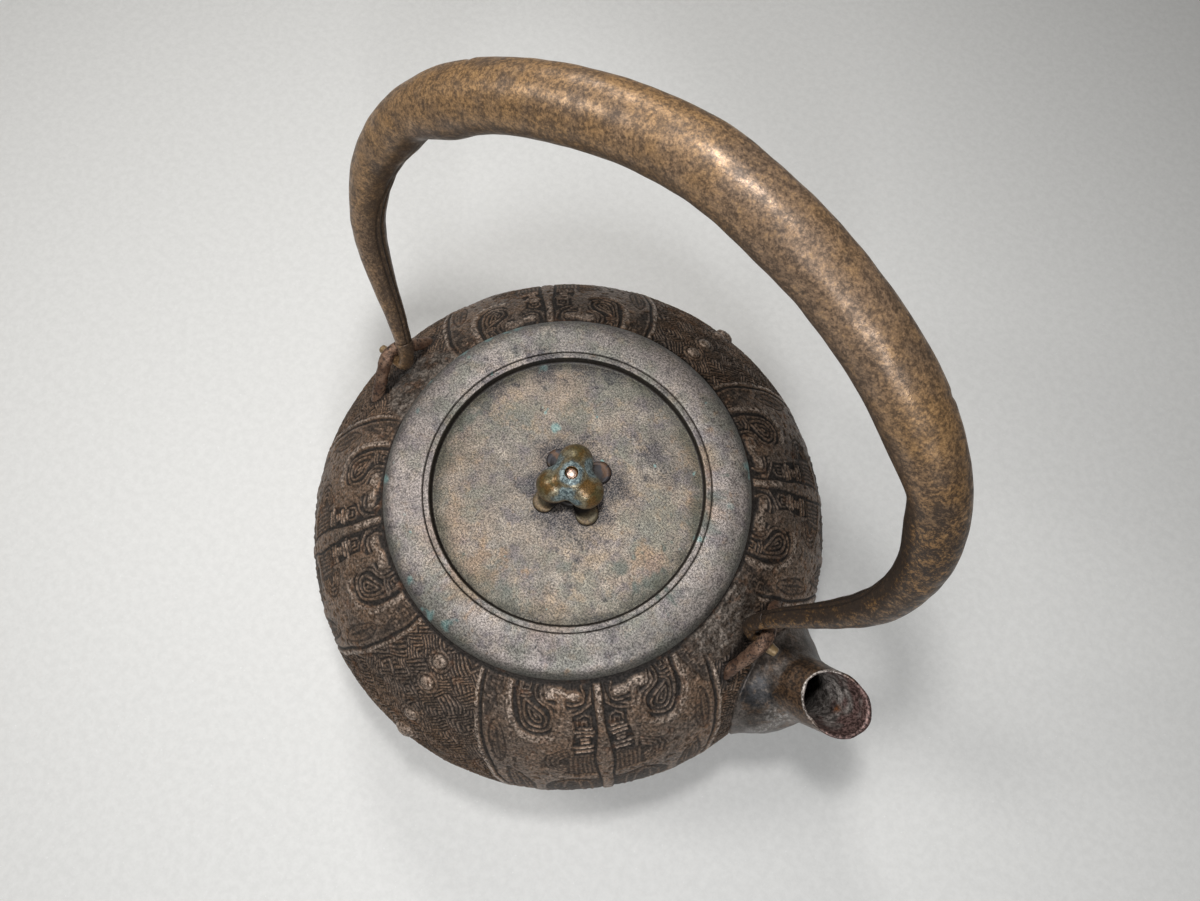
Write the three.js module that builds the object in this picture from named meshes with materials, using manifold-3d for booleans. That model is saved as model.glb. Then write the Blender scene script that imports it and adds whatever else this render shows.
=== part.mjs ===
// A cast iron kettle with a leaning bail handle and a bronze lid, in millimetres, +Z up.
// The origin is the centre of the flat base, and +X points to the spout.
import * as THREE from 'three';
import { mergeVertices } from 'three/addons/utils/BufferGeometryUtils.js';
import Module from 'manifold-3d';

const wasm = await Module();
wasm.setup();

// Fits between neighbouring pieces
const GAP = 0.3;
const SPIGOT_PLAY = 0.8;

// Cast body: a flattened ball with a flat base and a wide mouth
const BODY_RADIUS = 90;
const EQUATOR_HEIGHT = 45;
const DOME_RISE = 57.5;
const BASE_RADIUS = 46;
const BODY_WALL = 3.2;
const FLOOR_THICKNESS = 4;
const MOUTH_RADIUS = 50;
const MOUTH_LIP = 3.6;
const SEAT_WIDTH = 7;

// Studs in the relief, in a row down the shoulder on each side. Each has its place as a share
// of the way from the lid's seat to the body's side, its radius, and how far it stands proud.
const STUDS = [
  { place: 0.18, radius: 2.3, proud: 1.3 },
  { place: 0.4, radius: 2.3, proud: 1.3 },
  { place: 0.74, radius: 2.3, proud: 1.3 },
  { place: 0.9, radius: 3.4, proud: 2.2 },
];

// Lid: a broad rounded rim round a sunk disc
const LID_INSET = 1;
const LID_EDGE_HEIGHT = 1.2;
const LID_RIM_RISE = 6.3;
const LID_RIM_SHOULDER = 8.5;
const LID_RIM_FLAT = 4;
const LID_GROOVE_DEPTH = 0.9;
const LID_BEAD_WIDTH = 1.6;
const LID_SINK = 2.4;
const LID_THICKNESS = 2.6;
const SPIGOT_DEPTH = 6;
const SPIGOT_WALL = 2.4;

// Knob, its petalled seat and the rivet that holds them
const KNOB_OFFSET = new THREE.Vector2(1, 0.8);
const PETAL_COUNT = 4;
const PETAL_REACH = 9.4;
const PETAL_RADIUS = 3.6;
const PETAL_TURN = THREE.MathUtils.degToRad(-24);
const SEAT_THICKNESS = 2;
const SEAT_HUB_RADIUS = 7.6;
const LOBE_COUNT = 3;
const LOBE_RADIUS = 5.3;
const LOBE_REACH = 5.4;
const LOBE_HEIGHT = 7.4;
const LOBE_TURN = THREE.MathUtils.degToRad(-3);
const CROWN_RADIUS = 6.2;
const CROWN_HEIGHT = 8.9;
const NECK_RADIUS = 4.6;
const KNOB_CAVITY_RADIUS = 4.4;
const SHANK_RADIUS = 1.3;
const RIVET_HEAD_RADIUS = 1.7;
const RIVET_HEAD_THICKNESS = 1.4;
const RIVET_SINK = 0.9;
const TAIL_RADIUS = 3;
const TAIL_THICKNESS = 1.8;
const WASHER_RADIUS = 5.5;
const WASHER_THICKNESS = 1;

// Bail: a hollow grip that tapers into two thin legs
const BAIL_LEAN = THREE.MathUtils.degToRad(22.1);
const BAIL_RISE = 120.3;
const BAIL_HALF_SPAN = 85.3;
const BAIL_SHOULDER = 52;
const ARCH_SQUARENESS = [1.7, 2.15];
const GRIP_RADIUS = 7.75;
const LEG_RADIUS = 2.1;
const LEG_TAPER = 0.0568;
const BAIL_WALL = 1.3;
const LEG_INSET = 5.5;
const LEG_FULLNESS = 18;
const LEG_STRAIGHT = 12;
const TUBE_END = 0.8;
const TANG_END = 0.58;
const HOOK_BEND = 3.2;
const HOOK_TIP_LENGTH = 5.3;
const HOOK_TIP_RADIUS = 1.5;
const HOOK_BEARING_RADIUS = 1.9;

// Lugs: two iron staples cast into the shoulder
const LUG_BAR_RADIUS = 2.2;
const LUG_INSET = 19.2;
const LUG_SPLAY = 2.1;
const HINGE_LIFT = 7.68;
const LUG_HALF_SPREAD = 13.2;
const LUG_TANG_DEPTH = 5;
const LUG_BOSS_RADIUS = 5.2;
const LUG_BOSS_FLOOR = 2.4;

// Spout: oval sections from its mouth to its root. Each has its distance out from the body's
// side and up from its equator, a forward tilt in degrees, half its length along the slope,
// half its width, and a sideways shift.
const SPOUT_SECTIONS = [
  { out: 11, up: 37, tilt: 0, half: 10.8, side: 9.3, shift: -0.3 },
  { out: 6.8, up: 30, tilt: 20, half: 10.9, side: 9.6, shift: -0.4 },
  { out: 2.6, up: 23.6, tilt: 34, half: 12.4, side: 11, shift: -0.8 },
  { out: -3, up: 15.5, tilt: 45, half: 20, side: 18.4, shift: -2 },
  { out: -10.5, up: 8.5, tilt: 52, half: 21.5, side: 22.6, shift: -2.6 },
  { out: -20, up: 1, tilt: 52, half: 20.5, side: 23, shift: -2.6 },
];
const SPOUT_LIP = 1.5;
const SPOUT_WALL = 3;
const SPOUT_LIP_SHARE = 0.33;

// How finely round shapes are cut into flat faces
const BODY_SEGMENTS = 48;
const BODY_STEPS = 8;
const SPOUT_SIDES = 28;
const SPOUT_STEPS = 3;
const BAR_SIDES = 12;
const ROUND_SIDES = 24;
const GRIP_SIDES = 16;
const BEND_STEPS = 4;
const RIM_STEPS = 6;
const ARCH_STEPS = 12;
const LEG_STEPS = 8;
const LOBE_SIDES = 16;
const STUD_SIDES = 10;

const IRON = new THREE.MeshStandardMaterial({ color: 0x4b3c32, roughness: 0.75, metalness: 0.6 });
const WROUGHT = new THREE.MeshStandardMaterial({ color: 0x6b5540, roughness: 0.6, metalness: 0.7 });
const BRONZE = new THREE.MeshStandardMaterial({ color: 0x8c7d6e, roughness: 0.5, metalness: 0.8 });
const KNOB_BRONZE = new THREE.MeshStandardMaterial({ color: 0x7a6138, roughness: 0.4, metalness: 0.8 });
const COPPER = new THREE.MeshStandardMaterial({ color: 0xc48a72, roughness: 0.35, metalness: 0.9 });

const seatRadius = MOUTH_RADIUS + SEAT_WIDTH;
const seatHeight = domeHeight(seatRadius);
const lidRadius = seatRadius - LID_INSET;
const rimCrestRadius = lidRadius - LID_RIM_SHOULDER;
const grooveRadius = rimCrestRadius - LID_RIM_FLAT;
const discTop = seatHeight + LID_RIM_RISE - LID_SINK - LID_GROOVE_DEPTH;
const discBottom = discTop - LID_THICKNESS;
const spigotRadius = MOUTH_RADIUS - SPIGOT_PLAY;
const petalTop = discTop + SEAT_THICKNESS;
const knobBottom = petalTop + GAP;
const rivetHole = RIVET_HEAD_RADIUS + GAP;
const knobTop = knobBottom + CROWN_HEIGHT + Math.sqrt(CROWN_RADIUS ** 2 - rivetHole ** 2);
const lugFootReach = BODY_RADIUS - LUG_INSET;
const lugCrownReach = lugFootReach + LUG_SPLAY;
const footHeight = domeHeight(Math.hypot(lugFootReach, LUG_HALF_SPREAD));
const hingeHeight = domeHeight(lugCrownReach) + HINGE_LIFT;
const legReach = lugCrownReach - LEG_INSET;

// The outer shape of the cast body, as radius and height

function domeHeight(radius) {
  return EQUATOR_HEIGHT + DOME_RISE * Math.sqrt(1 - (radius / BODY_RADIUS) ** 2);
}

// An ellipse of the body's section, offset outwards or, if negative, inwards
function bodyArc(offset, rise, fromHeight, toHeight) {
  const width = BODY_RADIUS + offset;
  const height = rise + offset;
  const start = Math.asin(THREE.MathUtils.clamp((fromHeight - EQUATOR_HEIGHT) / height, -1, 1));
  const end = Math.asin(THREE.MathUtils.clamp((toHeight - EQUATOR_HEIGHT) / height, -1, 1));
  const points = [];
  for (let step = 0; step <= BODY_STEPS; step += 1) {
    const angle = THREE.MathUtils.lerp(start, end, step / BODY_STEPS);
    points.push(new THREE.Vector2(width * Math.cos(angle), EQUATOR_HEIGHT + height * Math.sin(angle)));
  }
  return points;
}

const bowlDepth = EQUATOR_HEIGHT / Math.sqrt(1 - (BASE_RADIUS / BODY_RADIUS) ** 2);

function bodyOutline(offset, floor, roof) {
  const below = bodyArc(offset, bowlDepth, floor, EQUATOR_HEIGHT);
  const above = bodyArc(offset, DOME_RISE, EQUATOR_HEIGHT, roof);
  return [
    new THREE.Vector2(0, floor),
    ...below,
    ...above.slice(1),
    new THREE.Vector2(0, roof),
  ];
}

// Solids and their meshes

function turned(outline, segments = BODY_SEGMENTS) {
  const geometry = new THREE.LatheGeometry(outline, segments);
  geometry.rotateX(Math.PI / 2);
  return solid(geometry);
}

function solid(geometry) {
  const bare = geometry.clone();
  bare.deleteAttribute('normal');
  bare.deleteAttribute('uv');
  const merged = mergeVertices(bare, 1e-4);
  const corners = merged.index.array;
  const faces = [];
  for (let i = 0; i < corners.length; i += 3) {
    const [a, b, c] = [corners[i], corners[i + 1], corners[i + 2]];
    if (a !== b && b !== c && c !== a) faces.push(a, b, c);
  }
  return new wasm.Manifold(new wasm.Mesh({
    numProp: 3,
    vertProperties: merged.attributes.position.array,
    triVerts: new Uint32Array(faces),
  }));
}

function meshOf(name, shape, material) {
  const { vertProperties, triVerts } = shape.getMesh();
  const geometry = new THREE.BufferGeometry();
  geometry.setAttribute('position', new THREE.BufferAttribute(vertProperties, 3));
  geometry.setIndex(new THREE.BufferAttribute(triVerts, 1));
  geometry.computeVertexNormals();
  const mesh = new THREE.Mesh(geometry, material);
  mesh.name = name;
  return mesh;
}

// A closed skin over a row of equal rings of points, with a flat end on the first and last
function loft(rings) {
  const sides = rings[0].length;
  const points = rings.flat();
  const faces = [];
  for (let ring = 0; ring + 1 < rings.length; ring += 1) {
    for (let side = 0; side < sides; side += 1) {
      const a = ring * sides + side;
      const b = ring * sides + (side + 1) % sides;
      faces.push(a, b, a + sides, b, b + sides, a + sides);
    }
  }
  const last = (rings.length - 1) * sides;
  for (let side = 1; side + 1 < sides; side += 1) {
    faces.push(0, side + 1, side, last, last + side, last + side + 1);
  }
  const geometry = new THREE.BufferGeometry().setFromPoints(points);
  geometry.setIndex(faces);
  return solid(geometry);
}

// A round rod through the points, with its own radius at each of them
function rod(points, radii, across, sides = BAR_SIDES) {
  const rings = points.map((point, i) => {
    const before = points[Math.max(i - 1, 0)];
    const after = points[Math.min(i + 1, points.length - 1)];
    const along = after.clone().sub(before).normalize();
    const u = across.clone().addScaledVector(along, -across.dot(along)).normalize();
    const v = new THREE.Vector3().crossVectors(along, u);
    return Array.from({ length: sides }, (_, side) => {
      const angle = 2 * Math.PI * side / sides;
      return point.clone()
        .addScaledVector(u, radii[i] * Math.cos(angle))
        .addScaledVector(v, radii[i] * Math.sin(angle));
    });
  });
  return loft(rings);
}

function cylinder(radius, bottom, top, x = 0, y = 0) {
  const geometry = new THREE.CylinderGeometry(radius, radius, top - bottom, ROUND_SIDES);
  geometry.rotateX(Math.PI / 2);
  geometry.translate(x, y, (bottom + top) / 2);
  return solid(geometry);
}

function ball(radius, x, y, z, sides = LOBE_SIDES) {
  const geometry = new THREE.SphereGeometry(radius, sides, Math.ceil(sides / 2));
  geometry.rotateX(Math.PI / 2);
  geometry.translate(x, y, z);
  return solid(geometry);
}

// The spout's sections, offset outwards or inwards, with smooth ones between them
function spoutLoft(offsetAt) {
  const keys = ['out', 'up', 'tilt', 'half', 'side', 'shift'];
  const last = SPOUT_SECTIONS.length - 1;
  const curves = keys.map((key) => new THREE.CatmullRomCurve3(
    SPOUT_SECTIONS.map((section, i) => new THREE.Vector3(i, section[key], 0)),
  ));
  const rings = [];
  for (let step = 0; step <= last * SPOUT_STEPS; step += 1) {
    const t = step / (last * SPOUT_STEPS);
    const [out, up, tilt, half, side, shift] = curves.map((curve) => curve.getPoint(t).y);
    const slope = THREE.MathUtils.degToRad(tilt);
    const grow = offsetAt(t);
    rings.push(Array.from({ length: SPOUT_SIDES }, (_, i) => {
      const angle = -2 * Math.PI * i / SPOUT_SIDES;
      const forward = (half + grow) * Math.cos(angle);
      return new THREE.Vector3(
        BODY_RADIUS + out + forward * Math.cos(slope),
        shift + (side + grow) * Math.sin(angle),
        EQUATOR_HEIGHT + up - forward * Math.sin(slope),
      );
    }));
  }
  return rings;
}

// The same rings with one more beyond each end, so that a cut runs right through
function longer(rings, beyondMouth, beyondRoot) {
  const push = (ring, next, amount) => ring.map((point, i) => (
    point.clone().add(point.clone().sub(next[i]).setLength(amount))
  ));
  const count = rings.length;
  return [
    push(rings[0], rings[1], beyondMouth),
    ...rings,
    push(rings[count - 1], rings[count - 2], beyondRoot),
  ];
}

const outerBody = turned(bodyOutline(0, 0, seatHeight));
const cavity = turned([
  new THREE.Vector2(0, FLOOR_THICKNESS),
  ...bodyArc(-BODY_WALL, bowlDepth, FLOOR_THICKNESS, EQUATOR_HEIGHT),
  ...bodyArc(-BODY_WALL, DOME_RISE, EQUATOR_HEIGHT, seatHeight - MOUTH_LIP).slice(1),
  new THREE.Vector2(0, seatHeight - MOUTH_LIP),
]);

function kettleBody() {
  const bossBottom = footHeight - LUG_TANG_DEPTH - LUG_BOSS_FLOOR;
  let body = outerBody.subtract(cavity);
  for (const end of [1, -1]) {
    for (const side of [1, -1]) {
      const [x, y] = [end * lugFootReach, side * LUG_HALF_SPREAD];
      const boss = cylinder(LUG_BOSS_RADIUS, bossBottom, seatHeight, x, y);
      body = body.add(boss.intersect(outerBody));
    }
  }
  body = body
    .subtract(lug(1, GAP))
    .subtract(lug(-1, GAP))
    .subtract(loft(longer(spoutLoft(() => GAP), GAP, GAP)));
  for (const side of [1, -1]) {
    for (const { place, radius, proud } of STUDS) {
      const out = THREE.MathUtils.lerp(seatRadius, BODY_RADIUS, place);
      const depth = radius - proud;
      const rise = domeHeight(out) - EQUATOR_HEIGHT;
      const slope = Math.atan2(rise / DOME_RISE ** 2, out / BODY_RADIUS ** 2);
      const centre = side * (out - depth * Math.cos(slope));
      const height = domeHeight(out) - depth * Math.sin(slope);
      body = body.add(ball(radius, 0, centre, height, STUD_SIDES));
    }
  }
  const mouth = turned([
    new THREE.Vector2(0, seatHeight - 2 * MOUTH_LIP),
    new THREE.Vector2(MOUTH_RADIUS, seatHeight - 2 * MOUTH_LIP),
    new THREE.Vector2(MOUTH_RADIUS, seatHeight + MOUTH_LIP),
    new THREE.Vector2(0, seatHeight + MOUTH_LIP),
  ]);
  return body.subtract(mouth);
}

function spout() {
  const wall = (t) => (
    -THREE.MathUtils.lerp(SPOUT_LIP, SPOUT_WALL, Math.min(1, t / SPOUT_LIP_SHARE))
  );
  const bore = loft(longer(spoutLoft(wall), SPOUT_WALL, SPOUT_WALL));
  return loft(spoutLoft(() => 0)).subtract(cavity).subtract(bore);
}

// One staple, or with a gap added all round, the socket that it sits in
function lug(end, grow = 0) {
  const crownRadius = HOOK_BEARING_RADIUS + GAP + LUG_BAR_RADIUS;
  const drop = hingeHeight - footHeight;
  const slant = Math.atan2(drop, LUG_HALF_SPREAD);
  const distance = Math.hypot(drop, LUG_HALF_SPREAD);
  const wrap = Math.PI / 2 + slant - Math.acos(crownRadius / distance);
  const crownTop = hingeHeight + crownRadius;
  const tangEnd = footHeight - LUG_TANG_DEPTH - grow;
  const points = [
    [-LUG_HALF_SPREAD, tangEnd],
    [-LUG_HALF_SPREAD, footHeight - LUG_BAR_RADIUS],
    [-LUG_HALF_SPREAD + LUG_BAR_RADIUS / 3, footHeight],
  ];
  for (let step = -BEND_STEPS; step <= BEND_STEPS; step += 1) {
    const angle = wrap * step / BEND_STEPS;
    points.push([crownRadius * Math.sin(angle), hingeHeight + crownRadius * Math.cos(angle)]);
  }
  points.push(
    [LUG_HALF_SPREAD - LUG_BAR_RADIUS / 3, footHeight],
    [LUG_HALF_SPREAD, footHeight - LUG_BAR_RADIUS],
    [LUG_HALF_SPREAD, tangEnd],
  );
  const route = points.map(([y, z]) => {
    const up = THREE.MathUtils.clamp((z - footHeight) / (crownTop - footHeight), 0, 1);
    return new THREE.Vector3(end * THREE.MathUtils.lerp(lugFootReach, lugCrownReach, up), y, z);
  });
  return rod(route, route.map(() => LUG_BAR_RADIUS + grow), new THREE.Vector3(1, 0, 0));
}

// The bail's centre line stands in its own plane, with X along the hinge and Z up the bail

const legCurve = new THREE.CubicBezierCurve3(
  new THREE.Vector3(BAIL_HALF_SPAN, 0, BAIL_SHOULDER),
  new THREE.Vector3(BAIL_HALF_SPAN, 0, BAIL_SHOULDER - LEG_FULLNESS),
  new THREE.Vector3(legReach, 0, HOOK_BEND + LEG_STRAIGHT),
  new THREE.Vector3(legReach, 0, HOOK_BEND),
);

function archPoint(angle) {
  const [across, up] = ARCH_SQUARENESS;
  return new THREE.Vector3(
    BAIL_HALF_SPAN * Math.cos(angle) ** (2 / across),
    0,
    BAIL_SHOULDER + (BAIL_RISE - BAIL_SHOULDER) * Math.sin(angle) ** (2 / up),
  );
}

function legPoints(from, to, steps) {
  return Array.from({ length: steps + 1 }, (_, i) => (
    legCurve.getPoint(THREE.MathUtils.lerp(from, to, i / steps))
  ));
}

function bailRadius(height) {
  return Math.min(GRIP_RADIUS, LEG_RADIUS + LEG_TAPER * height);
}

function bailHandle() {
  const half = [];
  for (let step = 0; step < ARCH_STEPS; step += 1) {
    half.push(archPoint(Math.PI / 2 * (1 - step / ARCH_STEPS)));
  }
  half.push(...legPoints(0, TUBE_END, LEG_STEPS));
  const mirrored = half.slice(1).reverse().map((point) => new THREE.Vector3(-point.x, 0, point.z));
  const route = [...mirrored, ...half];
  const radii = route.map((point) => bailRadius(point.z));
  const across = new THREE.Vector3(0, 1, 0);
  const bore = rod(route, radii.map((radius) => radius - BAIL_WALL), across, BAR_SIDES);
  const ends = [route[0], route[route.length - 1]];
  let tube = rod(route, radii, across, GRIP_SIDES).subtract(bore);
  for (const end of ends) {
    const inner = bailRadius(end.z) - BAIL_WALL;
    const down = legCurve.getTangent(TUBE_END);
    const step = new THREE.Vector3(Math.sign(end.x) * down.x, 0, down.z);
    const from = end.clone().addScaledVector(step, -BAIL_WALL);
    const to = end.clone().addScaledVector(step, BAIL_WALL);
    tube = tube.subtract(rod([from, to], [inner, inner], across));
  }
  return tube;
}

function bailHook(end) {
  const tangTop = bailRadius(legCurve.getPoint(TUBE_END).z) - BAIL_WALL - GAP;
  const gapShare = GAP / legCurve.getLength();
  const shank = legPoints(TUBE_END + gapShare, 1, BEND_STEPS);
  const radii = shank.map((point) => bailRadius(point.z));
  for (let step = 1; step <= BEND_STEPS; step += 1) {
    const angle = Math.PI / 2 * step / BEND_STEPS;
    shank.push(new THREE.Vector3(
      legReach + HOOK_BEND * (1 - Math.cos(angle)),
      0,
      HOOK_BEND * (1 - Math.sin(angle)),
    ));
    const share = step / BEND_STEPS;
    radii.push(THREE.MathUtils.lerp(bailRadius(HOOK_BEND), HOOK_BEARING_RADIUS, share));
  }
  shank.push(
    new THREE.Vector3(lugCrownReach + LUG_BAR_RADIUS, 0, 0),
    new THREE.Vector3(lugCrownReach + HOOK_TIP_LENGTH, 0, 0),
  );
  radii.push(HOOK_BEARING_RADIUS, HOOK_TIP_RADIUS);
  const tang = legPoints(TANG_END, TUBE_END + 2 * gapShare, BEND_STEPS);
  const mirror = (point) => new THREE.Vector3(end * point.x, 0, point.z);
  const across = new THREE.Vector3(0, 1, 0);
  return rod(shank.map(mirror), radii, across)
    .add(rod(tang.map(mirror), tang.map(() => tangTop), across));
}

function lid() {
  const crest = seatHeight + LID_RIM_RISE;
  const edge = seatHeight + LID_EDGE_HEIGHT;
  const grooveOuter = grooveRadius + LID_GROOVE_DEPTH / 2;
  const grooveInner = grooveRadius - LID_GROOVE_DEPTH / 2;
  const grooveTop = crest - LID_GROOVE_DEPTH;
  const beadInner = grooveInner - LID_BEAD_WIDTH;
  const outline = [
    new THREE.Vector2(0, discBottom),
    new THREE.Vector2(spigotRadius - SPIGOT_WALL, discBottom),
    new THREE.Vector2(spigotRadius - SPIGOT_WALL, seatHeight - SPIGOT_DEPTH),
    new THREE.Vector2(spigotRadius, seatHeight - SPIGOT_DEPTH),
    new THREE.Vector2(spigotRadius, seatHeight),
    new THREE.Vector2(lidRadius - LID_EDGE_HEIGHT, seatHeight),
  ];
  for (let step = 0; step <= RIM_STEPS; step += 1) {
    const angle = Math.PI / 2 * step / RIM_STEPS;
    outline.push(new THREE.Vector2(
      rimCrestRadius + LID_RIM_SHOULDER * Math.cos(angle),
      edge + (crest - edge) * Math.sin(angle),
    ));
  }
  outline.push(
    new THREE.Vector2(grooveOuter, grooveTop),
    new THREE.Vector2(grooveRadius, grooveTop - LID_GROOVE_DEPTH),
    new THREE.Vector2(grooveInner, grooveTop),
    new THREE.Vector2(beadInner, grooveTop),
    new THREE.Vector2(beadInner, discTop),
    new THREE.Vector2(0, discTop),
  );
  const hole = cylinder(SHANK_RADIUS + GAP, discBottom - GAP, discTop + GAP, ...KNOB_OFFSET);
  return turned(outline).subtract(hole);
}

function knobSeat() {
  const bottom = discTop;
  let seat = cylinder(SEAT_HUB_RADIUS, bottom, petalTop);
  for (let petal = 0; petal < PETAL_COUNT; petal += 1) {
    const angle = PETAL_TURN + 2 * Math.PI * petal / PETAL_COUNT;
    const [x, y] = [PETAL_REACH * Math.cos(angle), PETAL_REACH * Math.sin(angle)];
    seat = seat.add(cylinder(PETAL_RADIUS, bottom, petalTop, x, y));
  }
  return seat.subtract(cylinder(SHANK_RADIUS + GAP, bottom - GAP, petalTop + GAP));
}

function knob() {
  let shape = ball(CROWN_RADIUS, 0, 0, knobBottom + CROWN_HEIGHT);
  for (let lobe = 0; lobe < LOBE_COUNT; lobe += 1) {
    const angle = LOBE_TURN + 2 * Math.PI * lobe / LOBE_COUNT;
    const [x, y] = [LOBE_REACH * Math.cos(angle), LOBE_REACH * Math.sin(angle)];
    shape = shape.add(ball(LOBE_RADIUS, x, y, knobBottom + LOBE_HEIGHT));
  }
  const headBottom = knobTop - RIVET_SINK - RIVET_HEAD_THICKNESS;
  return shape
    .add(cylinder(NECK_RADIUS, knobBottom, knobBottom + LOBE_HEIGHT))
    .subtract(ball(KNOB_CAVITY_RADIUS, 0, 0, knobBottom + LOBE_HEIGHT))
    .subtract(cylinder(SHANK_RADIUS + GAP, knobBottom - GAP, knobTop + GAP))
    .subtract(cylinder(rivetHole, headBottom - GAP, knobTop + LOBE_RADIUS));
}

function knobRivet() {
  const headTop = knobTop - RIVET_SINK;
  const tailTop = discBottom - GAP - WASHER_THICKNESS - GAP;
  const tailBottom = tailTop - TAIL_THICKNESS;
  const headSide = headTop - RIVET_HEAD_THICKNESS;
  return turned([
    new THREE.Vector2(0, tailBottom),
    new THREE.Vector2(TAIL_RADIUS / 2, tailBottom),
    new THREE.Vector2(TAIL_RADIUS, tailTop - TAIL_THICKNESS / 2),
    new THREE.Vector2(TAIL_RADIUS, tailTop),
    new THREE.Vector2(SHANK_RADIUS, tailTop),
    new THREE.Vector2(SHANK_RADIUS, headSide),
    new THREE.Vector2(RIVET_HEAD_RADIUS, headSide),
    new THREE.Vector2(RIVET_HEAD_RADIUS, headTop - RIVET_HEAD_THICKNESS / 2),
    new THREE.Vector2(RIVET_HEAD_RADIUS / 2, headTop),
    new THREE.Vector2(0, headTop),
  ], ROUND_SIDES);
}

function rivetWasher() {
  const top = discBottom - GAP;
  const bottom = top - WASHER_THICKNESS;
  return cylinder(WASHER_RADIUS, bottom, top)
    .subtract(cylinder(SHANK_RADIUS + GAP, bottom - GAP, top + GAP));
}

const kettle = new THREE.Group();
kettle.add(
  meshOf('kettle_body', kettleBody(), IRON),
  meshOf('spout', spout(), IRON),
  meshOf('lug_front', lug(1), IRON),
  meshOf('lug_rear', lug(-1), IRON),
  meshOf('lid', lid(), BRONZE),
);

const bail = new THREE.Group();
bail.position.z = hingeHeight;
bail.rotation.x = -BAIL_LEAN;
bail.add(
  meshOf('bail_handle', bailHandle(), WROUGHT),
  meshOf('bail_hook_front', bailHook(1), WROUGHT),
  meshOf('bail_hook_rear', bailHook(-1), WROUGHT),
);

const knobStack = new THREE.Group();
knobStack.position.set(KNOB_OFFSET.x, KNOB_OFFSET.y, 0);
knobStack.add(
  meshOf('knob_seat', knobSeat(), BRONZE),
  meshOf('knob', knob(), KNOB_BRONZE),
  meshOf('knob_rivet', knobRivet(), COPPER),
  meshOf('rivet_washer', rivetWasher(), COPPER),
);

kettle.add(bail, knobStack);

export default kettle;
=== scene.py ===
"""Looks for a cast iron kettle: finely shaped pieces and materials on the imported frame.

Shapes are worked out in millimetres with +Z up and +X towards the spout, and each mesh is
written in metres.
"""
import math

import bpy
import numpy as np
from mathutils import Matrix, Vector

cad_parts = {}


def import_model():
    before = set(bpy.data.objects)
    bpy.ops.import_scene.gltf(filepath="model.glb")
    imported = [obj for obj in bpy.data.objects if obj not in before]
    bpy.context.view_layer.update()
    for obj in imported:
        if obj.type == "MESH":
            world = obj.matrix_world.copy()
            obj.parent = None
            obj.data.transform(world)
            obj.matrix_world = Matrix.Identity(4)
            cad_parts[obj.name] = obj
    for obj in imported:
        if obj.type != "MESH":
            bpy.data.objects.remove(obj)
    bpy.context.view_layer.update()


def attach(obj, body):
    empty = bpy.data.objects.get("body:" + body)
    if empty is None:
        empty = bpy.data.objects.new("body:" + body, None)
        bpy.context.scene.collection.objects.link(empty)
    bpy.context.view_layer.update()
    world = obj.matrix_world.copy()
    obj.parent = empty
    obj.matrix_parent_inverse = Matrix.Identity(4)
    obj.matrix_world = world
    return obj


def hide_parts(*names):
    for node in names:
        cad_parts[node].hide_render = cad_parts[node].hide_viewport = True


METRES = 0.001

# Camera, as the photograph was taken
CAMERA_PLACE = (40.2, -42.9, 321.5)
CAMERA_FORWARD = (-0.1663, 0.2426, -0.9558)
CAMERA_UP = (-0.5935, 0.7494, 0.2935)
CAMERA_LENS = 23.4
CAMERA_SENSOR = 36
CAMERA_NEAR = 0.01

# Light: each lamp's name, place and side in metres, power in watts and colour
LAMPS = (
    ("lamp_left", (-0.366, -0.186, 0.5), 0.14, 0.97, (1, 0.985, 0.965)),
    ("lamp_far", (-0.339, 0.266, 0.5), 0.12, 0.9, (1, 0.985, 0.965)),
    ("lamp_near", (0.276, -0.315, 0.5), 0.14, 1.62, (0.975, 0.985, 1)),
    ("lamp_top", (-0.012, 0.016, 0.4), 0.035, 0.44, (1, 0.99, 0.98)),
)
WORLD_COLOUR = (1, 0.985, 0.95, 1)
WORLD_STRENGTH = 0.06
FLOOR_HALF_SIZE = 4000

# How finely each piece is cut: points round it, rows along it, or steps in millimetres
BODY_COLUMNS = 2000
INNER_ROWS = 72
FINE_STEP = 0.29
COARSE_STEP = 2.5
CHART_CELL = 0.15
CURVE_STEPS = 5
LUMP_WAVES = 14
MERIDIAN_STEPS = 2000
SPOUT_SIDES = 160
SPOUT_STEPS = 26
SPOUT_ROWS = 150
LID_COLUMNS = 720
RIM_STEPS = 40
LID_STEP = 0.34
LEDGE_STEP = 0.1
PETAL_COLUMNS = 480
PETAL_EASING = 6
KNOB_COLUMNS = 300
KNOB_ROWS = 170
SKIN_HALVINGS = 36
TURNED_COLUMNS = 96
BAR_SIDES = 40
LUG_STEP = 0.5
GRIP_SIDES = 96
GRIP_STEP = 0.8
ARCH_STEPS = 300
LEG_STEPS = 80
HOOK_STEPS = 30

# Body
BODY_RADIUS = 90
EQUATOR_HEIGHT = 45
DOME_RISE = 57.5
BASE_RADIUS = 46
BODY_WALL = 3.2
FLOOR_THICKNESS = 4
MOUTH_RADIUS = 50
MOUTH_LIP = 3.6
SEAT_WIDTH = 7
seat_radius = MOUTH_RADIUS + SEAT_WIDTH
seat_height = EQUATOR_HEIGHT + DOME_RISE * math.sqrt(1 - (seat_radius / BODY_RADIUS) ** 2)
bowl_depth = EQUATOR_HEIGHT / math.sqrt(1 - (BASE_RADIUS / BODY_RADIUS) ** 2)

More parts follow.
